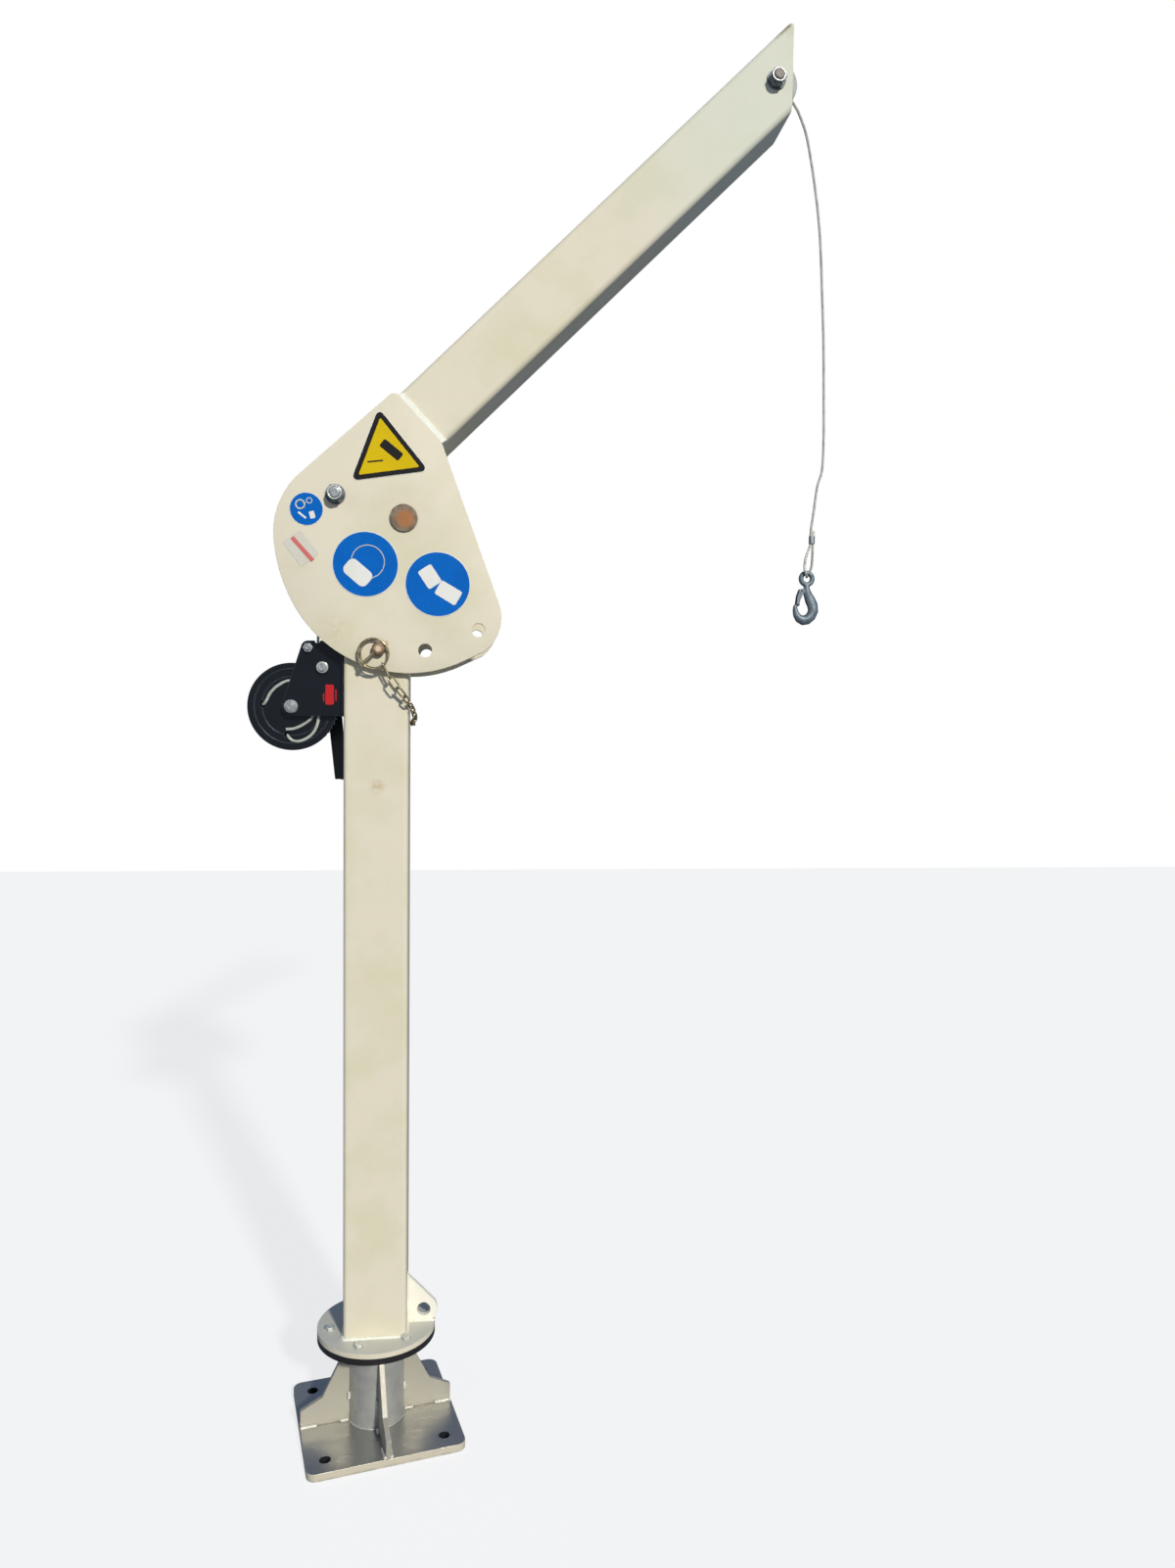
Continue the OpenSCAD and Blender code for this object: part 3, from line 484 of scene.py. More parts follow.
# %% Grain: fine bumps, stretched for a brushed surface
grain, inlet, outlet = group(
    "grain", [("Scale", FLOAT, 600.0), ("Stretch", VECTOR, EVEN), ("Depth", FLOAT, 0.1),
              ("Normal", VECTOR, None)], [("Mask", FLOAT), ("Normal", VECTOR)])
place = put(grain, "TexCoord")
turned = put(grain, "Mapping", {"Vector": place.outputs["Object"], "Scale": inlet.outputs["Stretch"]})
noise = put(grain, "TexNoise", {"Vector": turned.outputs[0], "Scale": inlet.outputs["Scale"],
                                "Detail": 3.0})
bump = put(grain, "Bump", {"Height": noise.outputs["Fac"], "Strength": inlet.outputs["Depth"],
                           "Distance": 0.001, "Normal": inlet.outputs["Normal"]})
grain.links.new(noise.outputs["Fac"], outlet.inputs["Mask"])
grain.links.new(bump.outputs[0], outlet.inputs["Normal"])
print("shared effects:", [g.name for g in bpy.data.node_groups])

# %% [markdown]
# ## Finishes
# `finish` builds one material out of the shared effects. It takes the main colour, a second colour that
# comes in clouds, the colour of the edges, which is wear and a painted highlight, and the colour of dirt and
# painted shade in the corners, with how strong each is, and then the gloss. Each finish of the crane is one
# call with its own numbers, and the few with something more add it afterwards.

# %% Finish
def blend_colour(tree, mask, strength, below, above):
    amount = put(tree, "Math", {0: mask, 1: strength}, operation="MULTIPLY")
    return mixed_colour(tree, amount.outputs[0], below, above)


def finish(name, colour, second, edge, dirt_and_shade, amounts, metal=0.0, rough=(0.3, 0.45), cloud=7, speck=500,
           stretch=EVEN, depth=0.05, radius=1.2, fine=0.0, shine=0.5):
    """Four card colours, how much of the last three comes in, then metal, gloss and scales."""
    colour, second, edge, dirt_and_shade = (paint(card) for card in (colour, second, edge, dirt_and_shade))
    made = bpy.data.materials.new(name)
    made.use_nodes = True
    made.diffuse_color = colour
    tree = made.node_tree
    tree.nodes.clear()
    cloudy = use(tree, clouds, {"Scale": cloud})
    corner = use(tree, corners)
    edge_wear_and_highlight = use(tree, edges, {"Radius": radius * MM})
    fleck = use(tree, grain, {"Scale": speck, "Stretch": stretch, "Depth": depth,
                              "Normal": edge_wear_and_highlight.outputs["Normal"]})
    tone = blend_colour(tree, cloudy.outputs["Mask"], amounts[0], colour, second)
    if fine:
        dark = tuple(c * 0.72 for c in colour[:3]) + (1.0,)
        tone = blend_colour(tree, fleck.outputs["Mask"], fine, tone, dark)
    # Sharp edges take the edge colour: wear, and a painted highlight along them.
    tone = blend_colour(tree, edge_wear_and_highlight.outputs["Mask"], amounts[1], tone, edge)
    # Closed-in corners take the dirt colour: dirt, and painted shade.
    tone = blend_colour(tree, corner.outputs["Mask"], amounts[2], tone, dirt_and_shade)
    gloss = put(tree, "MapRange", {"Value": fleck.outputs["Mask"], "From Min": 0.3, "From Max": 0.7,
                                   "To Min": rough[0], "To Max": rough[1]})
    shader = put(tree, "BsdfPrincipled", {"Base Color": tone, "Roughness": gloss.outputs[0],
                                          "Normal": fleck.outputs["Normal"]})
    shader.inputs["Metallic"].default_value = metal
    shader.inputs["Specular IOR Level"].default_value = shine
    put(tree, "OutputMaterial", {"Surface": shader.outputs[0]})
    return made


print("finish ready")

# %% [markdown]
# ### Local changes to a finish
# Some finishes change from place to place: a rust stain, a sawn edge on a ground plate, the paler middle of
# a pin's end. Such a change needs a mask first. `near` gives one that fades with the distance from a point,
# `upright` one that is full on faces that stand up, and `above` one that is full over a height. `tint` then
# mixes a colour in by the mask.

# %% Masks and tints
def near(made, place, reach, fade, broken=False):
    """Full within reach of a place in millimetres and gone at fade; with broken it comes in flecks."""
    tree = made.node_tree
    where = put(tree, "TexCoord")
    far = put(tree, "VectorMath", {0: where.outputs["Object"], 1: tuple(v * MM for v in place)},
              operation="DISTANCE")
    mask = put(tree, "MapRange", {"Value": far.outputs["Value"], "From Min": fade * MM,
                                  "From Max": reach * MM}, interpolation_type="SMOOTHSTEP").outputs[0]
    if broken:
        ragged = use(tree, clouds, {"Scale": 140.0, "Low": 0.35, "High": 0.6})
        mask = put(tree, "Math", {0: mask, 1: ragged.outputs[0]}, operation="MULTIPLY").outputs[0]
    return mask


def upright(made):
    tree = made.node_tree
    apart = put(tree, "SeparateXYZ", {0: put(tree, "NewGeometry").outputs["True Normal"]})
    level = put(tree, "Math", {0: apart.outputs["Z"]}, operation="ABSOLUTE")
    return put(tree, "MapRange", {"Value": level.outputs[0], "From Min": 0.7, "From Max": 0.3}).outputs[0]


def above(made, height):
    tree = made.node_tree
    apart = put(tree, "SeparateXYZ", {0: put(tree, "TexCoord").outputs["Object"]})
    return put(tree, "MapRange", {"Value": apart.outputs["Z"], "From Min": (height - 0.3) * MM,
                                  "From Max": (height + 0.3) * MM}).outputs[0]


def tint(made, mask, colour, strength=1.0, metal=None):
    """Mixes a colour in by the mask, and another share of metal if one is given."""
    tree = made.node_tree
    shader = next(n for n in tree.nodes if n.type == "BSDF_PRINCIPLED")
    before = shader.inputs["Base Color"].links[0].from_socket
    tree.links.new(blend_colour(tree, mask, strength, before, paint(colour)), shader.inputs["Base Color"])
    if metal is not None:
        socket = shader.inputs["Metallic"]
        both = put(tree, "Mix", {0: mask, 2: socket.default_value, 3: metal}, data_type="FLOAT")
        tree.links.new(both.outputs[0], socket)


print("masks: near, upright, above")

# %% [markdown]
# ### Paints
# The column and the jib have a warm cream enamel that is slightly glossy and clouded by weather, with rust
# at the lock pin, bruises at the jib's tip and a greenish painted reflection of the sky over the jib's end.
# One cream would do for all, but the flange and the lug face the light in another way, so each has a variant
# with painted light: the flange's top is greyer, a painted shade, and the lug is paler, a painted highlight.
# The welds take a paler cream still, a painted highlight. The winch is coated black, and the hook grey.

# %% Paints
cream = finish(
    "cream_enamel", (229, 220, 195), (220, 213, 180), (240, 235, 219), (150, 136, 106), (0.8, 0.45, 0.35),
    rough=(0.48, 0.6), cloud=8, speck=420, shine=0.12)
# The welds' near-white cream is a painted highlight: a lit copy of the cream enamel.
weld_cream_painted_highlight = finish(
    "cream_on_welds", (240, 241, 226), (232, 232, 212), (246, 246, 236), (160, 148, 116),
    (0.5, 0.3, 0.35), rough=(0.36, 0.5), cloud=40, depth=0.1, shine=0.35)
# The black coating's pale edge colour, strongly mixed in, is a painted highlight along its edges and grooves.
black_coat = finish(
    "black_coating", (14, 20, 26), (9, 12, 16), (140, 148, 154), (30, 30, 30), (0.5, 0.6, 0.2),
    rough=(0.16, 0.28), cloud=18, speck=900, depth=0.08, radius=1)
hook_grey = finish(
    "hook_paint", (116, 128, 134), (90, 102, 110), (180, 188, 186), (70, 66, 56), (0.7, 0.6, 0.6),
    metal=0.35, rough=(0.34, 0.55), cloud=90, speck=1500, depth=0.25, radius=0.8)
black_plastic = finish(
    "black_plastic", (33, 31, 32), (25, 24, 25), (80, 80, 80), (96, 88, 76), (0.6, 0.3, 0.3),
    rough=(0.42, 0.58), cloud=25, speck=1200, depth=0.1)
flange_cream_painted_shade = finish(
    "cream_on_flange", (229, 220, 194), (222, 213, 186), (240, 235, 219), (140, 128, 100),
    (0.6, 0.45, 0.4), rough=(0.36, 0.48), cloud=9, speck=420, shine=0.4)
# Painted shade: the flange's top face, above 165 mm, is tinted greyer.
tint(flange_cream_painted_shade, above(flange_cream_painted_shade, 165), (206, 204, 190))
# The lug's paler cream is painted light, a lit copy of the cream enamel.
lug_cream_painted_light = finish(
    "cream_on_lug", (246, 242, 224), (240, 234, 212), (248, 246, 236), (160, 148, 116), (0.5, 0.4, 0.35),
    rough=(0.4, 0.52), cloud=9, speck=420, shine=0.25)
for place, reach, fade, strength, shade in (
        ((1.8, -50, 1049), 2, 17, 0.5, (192, 160, 116)), ((639, -55, 2240), 2, 12, 0.5, (190, 182, 120)),
        ((13, -63, 1271), 2, 9, 0.9, (204, 158, 86)), ((-60, -63, 1290), 4, 30, 0.25, (196, 180, 130))):
    tint(cream, near(cream, place, reach, fade, broken=True), shade, strength)
# Painted reflection: a pale green-grey tint of sky spreads over the end of the jib.
tint(cream, near(cream, (640, -55, 2120), 60, 420), (206, 219, 205), 0.42)
for place, fade, strength in (((635, -53, 2251), 8, 0.7), ((629, -53, 2246), 9, 0.6),
                              ((623, -53, 2240), 8, 0.55), ((617, -53, 2234), 7, 0.35)):
    tint(cream, near(cream, place, 2, fade), (124, 102, 70), strength)
print("paints:", [m.name for m in (cream, weld_cream_painted_highlight, flange_cream_painted_shade, lug_cream_painted_light, black_coat, hook_grey)])

# %% [markdown]
# ### Steels
# The foot is bare stainless steel: the plate is ground to a dull mirror with sawn, paler edges, and painted
# shade darkens it beside the gussets and the tube and in its bolt holes; the tube is rolled and mottled,
# and the gussets are plain sheet whose warm tone is a painted reflection. The bolts are zinc plated, in
# three tones: plain, paler on the flange bolts and the lock-nut collars, and a dark grey, with pale painted
# highlights on its edges, for the threads and the bolts of the roller and the sheave. The chain, the pins
# and the rope are bare steel that has yellowed or begun to rust. Each could be one grey metal, but beside
# one another they would look like one casting, so every kind has its own colour, share of metal and gloss.

# %% Stainless steel of the foot
stainless = finish(
    "ground_stainless", (184, 183, 177), (160, 159, 155), (220, 220, 216), (112, 98, 76),
    (0.5, 0.5, 0.45), metal=0.8, rough=(0.28, 0.4), cloud=9, speck=260, stretch=(0.4, 6, 6), depth=0.03,
    fine=0.12)
tube_stainless = finish(
    "tube_stainless", (196, 195, 186), (158, 158, 152), (226, 226, 220), (90, 82, 66), (0.35, 0.4, 0.5),
    metal=0.45, rough=(0.34, 0.5), cloud=60, speck=420, depth=0.04, fine=0.25)
# The gussets' warm beige tone is a painted reflection; the sheet itself carries little metal.
gusset_stainless_painted_reflection = finish(
    "sheet_stainless", (178, 173, 156), (168, 163, 146), (236, 232, 220), (100, 88, 68), (0.4, 0.5, 0.45),
    metal=0.15, rough=(0.4, 0.52), cloud=6, speck=300, depth=0.02, fine=0.06)
stainless_weld = finish(
    "stainless_weld", (226, 223, 208), (196, 192, 176), (240, 238, 228), (96, 82, 62), (0.5, 0.3, 0.4),
    metal=0.3, rough=(0.26, 0.42), cloud=150, speck=900, depth=0.15)
plate_stainless = finish(
    "plate_stainless", (182, 181, 175), (156, 156, 153), (226, 224, 216), (104, 92, 72), (0.5, 0.6, 0.1),
    metal=0.8, rough=(0.26, 0.38), cloud=9, speck=60, stretch=(0.3, 2, 2), depth=0.004, fine=0.04)
tint(plate_stainless, upright(plate_stainless), (222, 212, 186), metal=0.15)
# Painted shade: dark grey where ambient occlusion finds the plate closed in, beside the gussets and the tube.
tint(plate_stainless, use(plate_stainless.node_tree, corners, {"Distance": 0.012}).outputs[0], (44, 44, 44))
# Painted shade in the four bolt holes: a dark colour on their walls.
for quarter in range(4):
    shaded_hole = Vector((HOLE_CIRCLE, 0, BASE_TOP / MM / 2))
    shaded_hole.rotate(Matrix.Rotation(math.radians(45 + BASE_TURN + 90 * quarter), 3, "Z"))
    tint(plate_stainless, near(plate_stainless, shaded_hole, 10.6, 11), (40, 42, 46))
print("plate holes at", round(HOLE_CIRCLE * MM, 3), "m from the middle")

# %% Bolts, sheave and gears
zinc = finish(
    "zinc_plate", (198, 201, 198), (160, 163, 160), (240, 242, 240), (76, 72, 62), (0.6, 0.8, 0.7),
    metal=0.6, rough=(0.2, 0.34), cloud=120, speck=900, depth=0.04, radius=0.7, fine=0.12)
pale_zinc = finish(
    "pale_zinc", (216, 220, 210), (182, 186, 176), (242, 244, 238), (84, 80, 66), (0.7, 0.8, 0.7),
    metal=0.3, rough=(0.22, 0.36), cloud=140, speck=900, depth=0.04, radius=0.8, fine=0.12)
# The dark grey zinc's pale edge colour, strongly mixed in, is a painted highlight along the edges of the nuts.
grey_zinc = finish(
    "grey_zinc", (112, 118, 122), (74, 80, 86), (220, 226, 226), (44, 44, 42), (0.7, 0.9, 0.8), metal=0.2,
    rough=(0.46, 0.58), cloud=120, speck=900, depth=0.04, radius=0.9, fine=0.15, shine=0.3)
sheave_steel = finish(
    "sheave_steel", (160, 166, 160), (118, 124, 120), (214, 218, 212), (50, 48, 42), (0.8, 0.6, 0.7),
    metal=0.15, rough=(0.5, 0.62), cloud=45, speck=900, radius=0.6, fine=0.25, shine=0.3)
bolt_end = finish(
    "bolt_end", (108, 102, 96), (84, 78, 72), (150, 146, 140), (52, 46, 40), (0.7, 0.5, 0.6), metal=0.5,
    rough=(0.45, 0.6), cloud=200, speck=1500, depth=0.15, radius=0.4, fine=0.3)
gear_steel = finish(
    "oiled_steel", (142, 140, 134), (112, 108, 100), (196, 194, 188), (48, 42, 34), (0.6, 0.5, 0.8),
    metal=0.9, rough=(0.24, 0.42), cloud=60, speck=900, depth=0.08, radius=0.5, fine=0.3)
print("bolt finishes ready")

# %% Pins, chain and rope
chain_steel = finish(
    "dull_chain", (178, 166, 132), (132, 118, 86), (238, 232, 208), (66, 54, 38), (0.8, 0.5, 0.8),
    metal=0.65, rough=(0.2, 0.34), cloud=130, speck=1500, depth=0.1, radius=0.4, fine=0.3)
bright_pin = finish(
    "worn_pin", (178, 146, 112), (146, 114, 82), (240, 228, 208), (84, 64, 44), (0.8, 0.6, 0.8),
    metal=0.6, rough=(0.28, 0.44), cloud=160, speck=1500, depth=0.1, radius=1, fine=0.3)
pin_steel = finish(
    "rusted_pin", (138, 120, 98), (100, 82, 62), (216, 210, 196), (62, 46, 34), (0.8, 0.9, 0.6),
    metal=0.5, rough=(0.32, 0.5), cloud=90, speck=1400, depth=0.1, radius=1.8, fine=0.2)
tint(pin_steel, near(pin_steel, (44.5, -66, 1460.5), 10, 16), (168, 110, 62), 0.85)
rope_wire = finish(
    "rope_wire", (228, 230, 216), (182, 184, 168), (238, 238, 228), (62, 56, 44), (0.7, 0.2, 0.8),
    metal=0.25, rough=(0.28, 0.42), cloud=90, speck=2500, depth=0.2, radius=0.2, fine=0.4)
ferrule_steel = finish(
    "pressed_ferrule", (132, 137, 142), (104, 108, 112), (190, 192, 190), (56, 50, 42), (0.6, 0.4, 0.5),
    metal=0.8, rough=(0.35, 0.5), cloud=150, speck=1500, depth=0.12, radius=0.5)
tint(ferrule_steel, above(ferrule_steel, 1467.4), (226, 228, 210), metal=0.2)
# A paler round spot in the middle of the lock pin's end.
tint(bright_pin, near(bright_pin, (4.5, -75, 1261.5), 3, 6), (242, 218, 184))
print("finishes:", len(bpy.data.materials))

# %% [markdown]
# ## Dressing the CAD parts
# The imported record gives each part a material slot. The table below says which finish each slot takes, and
# a few parts take another: the gussets are of a warmer, duller sheet than the base, whose beige tone is a
# painted reflection, and the lock pin's chain is darker.

# %% Assign finishes
slot_finish = {"stainless": stainless, "cream_paint": cream, "black_paint": black_coat,
               "black_plastic": black_plastic, "zinc": zinc, "gear_steel": gear_steel, "pin_steel": pin_steel,
               "rope_steel": rope_wire, "hook_paint": hook_grey}
special = {"rope_ferrule": ferrule_steel, "hook_latch": hook_grey, "lock_pin": bright_pin,
           "lock_pin_ring": chain_steel, "pin_chain": chain_steel, "pedestal_tube": tube_stainless,
           "base_plate": plate_stainless, "slew_flange": flange_cream_painted_shade, "lashing_lug": lug_cream_painted_light,
           "flange_bolts": pale_zinc, "roller_bolt": grey_zinc, "sheave_bolt": grey_zinc, "drive_shaft": zinc,
           "tip_sheave": sheave_steel}
special.update({f"gusset_{side}": gusset_stainless_painted_reflection for side in ("front", "right", "back", "left")})
for part in frame["record"]["subparts"]:
    piece = nodes[part["node"]]
    chosen = special.get(part["node"], slot_finish[part["material_slot"]])
    for place in piece.material_slots:
        place.material = chosen
    if not piece.material_slots:
        piece.data.materials.append(chosen)
for piece in (hanging, eye):
    piece.data.materials.append(rope_wire)
forged.data.materials.clear()
forged.data.materials.append(hook_grey)

# %% [markdown]
# ## The rest of the rope
# The rope goes from the drum up to the guide roller, over it into the box of the jib, out at the mouth and
# over the tip sheave. The CAD ropes are plain tubes, so laid ropes stand for them. Two stretches cross a
# joint: near the guide roller the rope bends between the column and the jib, and on the tip sheave between
# the jib and the hook line.

# %% Rope through the jib
def run_rope(name, line, stands_for=None, body=None, sides=6):
    """A laid rope without a core, in the rope's finish."""
    made = laid_rope(name, line, sides=sides, core=False)
    made.data.materials.append(rope_wire)
    if stands_for:
        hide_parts(stands_for)
    if body:
        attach(made, body)
    return made


JIB_PART_ENDS = 78
ROLLER_ROPE_R = 24.25 * MM
WOUND_R = 27.25 * MM
LEAD_R = WOUND_R + ROPE_D + 0.3 * MM
across = ROLLER - DRUM
lean = math.degrees(math.atan2(across.z, across.x) - math.acos((LEAD_R + ROLLER_ROPE_R) / across.length))
boom = SHEAVE - ROLLER
crest = 90 + math.degrees(
    math.atan2(boom.z, boom.x) + math.asin((SHEAVE_ROPE_R - ROLLER_ROPE_R) / boom.length))
over_roller = arc_path(ROLLER, ROLLER_ROPE_R, lean + 178, crest, 12)
over_tip = arc_path(SHEAVE, SHEAVE_ROPE_R, crest, JIB_PART_ENDS, 30)
run_rope("rope_in_jib", even_path(over_roller + over_tip, 2.6 * MM), "jib_rope", "jib")

wrap_line = arc_path(SHEAVE, SHEAVE_ROPE_R, JIB_PART_ENDS, LEAVES_TIP, 24)
wrap = run_rope("rope_on_tip", even_path(wrap_line, 1.8 * MM))
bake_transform(wrap)
print("rope leaves the roller at", round(crest, 1), "degrees")

# %% Rope from drum to roller
low, high = about(DRUM, LEAD_R, lean), about(ROLLER, -ROLLER_ROPE_R, lean)
lead = run_rope("rope_from_drum", even_path([low, high], 2.2 * MM), "lead_rope")
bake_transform(lead)
print("lead rope", round((high - low).length, 3), "m")

# %% [markdown]
# ## Rope on the drum
# One layer of turns lies side by side on the barrel. A ring per turn would look like washers, so one strand
# line winds from flange to flange, a rope's width further with each turn. The spare end comes out through
# the near flange, runs round on its face and goes back in through the second hole.

# %% Wound rope
drum_low, drum_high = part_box("drum_rope")
turns = int((drum_high.y - drum_low.y) / ROPE_D + 0.01)
steps = turns * 44
wound = arc_path(DRUM, WOUND_R, 0, 360 * turns, steps)
for i, point in enumerate(wound):
    point.y = drum_low.y + ROPE_D / 2 + (drum_high.y - drum_low.y - ROPE_D) * i / steps
run_rope("rope_on_drum", wound, "drum_rope", "drum", sides=5)
print("turns on the drum:", turns)

# %% Spare end on the flange
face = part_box("winch_drum")[0].y - 1.3 * MM


def on_flange(points):
    return [Vector((DRUM.x + x * MM, face + y * MM, DRUM.z + z * MM)) for x, y, z in points]


first = on_flange([(-44.4, 4.5, 3.1), (-43, 1, 3.2), (-39, 0, 8), (-33.5, 0, 19), (-26, 0, 28),
                   (-15, 0, 36), (-4, 0, 40), (10, 0, 39), (24, 0, 31), (34, 0, 17), (39, 0, 0),
                   (40.5, 0, -14), (38, 0, -29), (31, 0, -42), (21, 0, -50), (9, 0, -54), (0, 0, -52),
                   (-5, 1, -47), (-7, 4.5, -44)])
second = on_flange([(-9, 0, -35.4), (-3, 0, -35), (5, 0, -33.6), (16, 0, -28.4), (26, 0, -21.4),
                    (33, 0, -12), (34, 0, 2), (29, 0, 16), (20, 0, 25), (12, 0, 28)])
for i, spare in enumerate((first, second)):
    run_rope(f"rope_tail_{i + 1}", smooth_path(spare, 1.6 * MM), body="drum")
print("spare rope laid")

# %% [markdown]
# ## Weld beads
# A hand-laid weld is a row of small overlapping ripples, each one a pool that froze while the next was
# laid. One ripple is modelled from a ball, flattened and tilted, and then repeated along the seam. Copies
# of one small shape give the fish-scale look at a low cost, and each seam becomes one mesh.

# %% One ripple
clear()
bpy.ops.mesh.primitive_uv_sphere_add(segments=12, ring_count=7, radius=1.0)
ripple = bpy.context.object
pick(ripple, lambda v: v.co.z < -0.3, "verts")
bpy.ops.transform.resize(value=(0.8, 0.8, 0.5), center_override=(0, 0, 0))
bpy.ops.mesh.select_all(action="SELECT")
bpy.ops.transform.rotate(value=math.radians(22), orient_axis="Y", center_override=(0, 0, 0))
bpy.ops.object.mode_set(mode="OBJECT")
ripple_mesh = ripple.data.copy()
bpy.data.objects.remove(ripple)
print("ripple faces:", len(ripple_mesh.polygons))


# %% Row of ripples
def weld(name, body, line, up, width, height, pitch, metal, wobble=0.12):
    """A bead along the line; up is the direction that it faces, or a function of the place."""
    line = even_path([Vector(p) for p in line], pitch)
    rows = bmesh.new()
    for i, p in enumerate(line):
        along = (line[min(i + 1, len(line) - 1)] - line[max(i - 1, 0)]).normalized()
        out = (up(p) if callable(up) else Vector(up)).normalized()
        out = (out - along * out.dot(along)).normalized()
        cross = out.cross(along)
        size = 1 + wobble * math.sin(i * 2.399) * math.sin(i * 0.71)
        axes = (along * pitch * 1.25, cross * width / 2 * size, out * height * size)
        turn = Matrix(axes).transposed().to_4x4()
        before = len(rows.verts)
        rows.from_mesh(ripple_mesh)
        rows.verts.ensure_lookup_table()
        bmesh.ops.transform(rows, matrix=Matrix.Translation(p) @ turn, verts=rows.verts[before:])
    made = from_faces(name, rows, 70)
    made.data.materials.append(metal)
    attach(made, body)


def ring_line(centre, radius, z, start=0.0, end=360.0, steps=90):
    return [Vector((centre[0] + radius * math.cos(a), centre[1] + radius * math.sin(a), z))
            for a in (math.radians(start + (end - start) * i / steps) for i in range(steps + 1))]


print("weld and ring_line ready")

# %% Welds of the column's foot
foot = COLUMN + 0.6 * MM
bend = 7 * MM
square = []
for sx, sy, a in ((1, 1, 0), (-1, 1, 90), (-1, -1, 180), (1, -1, 270)):
    square += ring_line((sx * (foot - bend), sy * (foot - bend)), bend, FLANGE_TOP + 0.4 * MM, a, a + 90, 8)
square.append(square[0])
weld("weld_column_foot", "column", square, lambda p: Vector((p.x, p.y, 0.05)), 6.5 * MM, 3.2 * MM, 2.3 * MM,
     weld_cream_painted_highlight)
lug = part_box("lashing_lug")
for i, side in enumerate((-1, 1)):
    y = side * (lug[1].y + 0.3 * MM)
    line = [(COLUMN + 0.4 * MM, y, lug[1].z - 1 * MM), (COLUMN + 0.4 * MM, y, FLANGE_TOP + 1 * MM),
            (lug[1].x - 6 * MM, y, FLANGE_TOP + 0.6 * MM)]
    weld(f"weld_lug_{i + 1}", "column", line, (0.6, side, 0.3), 5.5 * MM, 2.6 * MM, 2.2 * MM, weld_cream_painted_highlight)
print("column welds laid")

# %% Welds of the jib
ARM_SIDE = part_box("jib_arm")[0].y
CREST = PIVOT + Vector((-10.4 * MM, 0, 186.8 * MM))
SHOULDER = PIVOT + Vector((57 * MM, 0, 117 * MM))
for i, side in enumerate((1, -1)):
    a, b = CREST.lerp(SHOULDER, 0.04), SHOULDER
    shift = Vector((2.5 * MM, side * (ARM_SIDE - 0.5 * MM), 2.5 * MM))
    weld(f"weld_arm_{i + 1}", "jib", [a + shift, b + shift], (0.5, -side, 0.5), 17 * MM, 5.0 * MM, 1.8 * MM,
         weld_cream_painted_highlight, wobble=0.03)
print("arm welds", round((SHOULDER - CREST).length / MM), "mm long")

# %% [markdown]
# ## Coloured discs on the head plate
# The head plate carries round and three-cornered patches of coloured film. They have no sign or word on
# them. Each disc is a very flat cylinder; its face is inset for the pale rim, and the faces inside the rim
# take the colour. An inset would cut the triangle's rounded corners badly, so the triangle is three layers,
# each with its own bevel.

# %% Coloured film
def film(name, colour, second, edge, dirt_and_shade, amounts=(0.6, 0.2, 0.1), rough=(0.24, 0.34), cloud=20, depth=0.02,
         shine=0.5):
    """A thin glossy film, for the discs and the marks on them."""
    return finish(name, colour, second, edge, dirt_and_shade, amounts, rough=rough, cloud=cloud, depth=depth,
                  shine=shine)


film_blue = film(
    "film_blue", (4, 102, 190), (2, 94, 180), (40, 130, 205), (90, 96, 90), rough=(0.22, 0.32), shine=0.15)
film_yellow = film(
    "film_yellow", (220, 188, 14), (212, 180, 12), (232, 206, 70), (130, 112, 50), rough=(0.22, 0.32),
    shine=0.15)
film_black = film(
    "film_black", (34, 32, 30), (26, 24, 23), (70, 68, 64), (90, 84, 70), (0.5, 0.2, 0.1), shine=0.2)
film_pale = film(
    "film_pale", (238, 236, 226), (228, 226, 214), (244, 242, 236), (150, 144, 126), (0.5, 0.2, 0.2),
    cloud=30)
print("films:", [m.name for m in bpy.data.materials if m.name.startswith("film")])


# %% Patch of film
FRONT = PLATE_FACE - 0.16 * MM


def cylinder(x, y, z, radius, depth, corners):
    """A cylinder that lies along Y, as the crane's pins and bolts do."""
    clear()
    bpy.ops.mesh.primitive_cylinder_add(vertices=corners, radius=radius, depth=depth, location=(x, y, z),
                                        rotation=(math.radians(90), 0, 0))
    return bpy.context.object


def span(edge, axis):
    """How far an edge reaches along an axis, 0 for X, 1 for Y and 2 for Z."""
    return abs(edge.verts[0].co[axis] - edge.verts[1].co[axis])


def bevel(piece, test, offset, segments):
    """Rounds the edges that pass the test."""
    pick(piece, test, "edges")
    bpy.ops.mesh.bevel(offset=offset, segments=segments, affect="EDGES")
    bpy.ops.object.mode_set(mode="OBJECT")


def patch(name, x, z, radius, inset, films, corners=96, turn=0.0, rounding=0.0):
    """Flat film on the near head plate; with two films, the second fills the face inside the inset."""
    piece = cylinder(x * MM, FRONT, z * MM, radius * MM, 0.3 * MM, corners)
    apply_turn(piece, place=False)
    if turn:
        pick(piece, lambda f: True)
        bpy.ops.transform.rotate(value=math.radians(turn), orient_axis="Y",
                                 center_override=(x * MM, 0, z * MM))
    if rounding:
        bevel(piece, lambda e: span(e, 1) > 0.1 * MM, rounding * MM, 8)
    for colour in films:
        piece.data.materials.append(colour)
    if len(films) > 1:
        pick(piece, lambda f: f.normal.y < -0.9)
        bpy.ops.mesh.inset(thickness=inset * MM)
        piece.active_material_index = 1
        bpy.ops.object.material_slot_assign()
    return settle(piece, name, "jib")


print("films lie", round((PLATE_FACE - FRONT) / MM, 2), "mm proud of the plate")

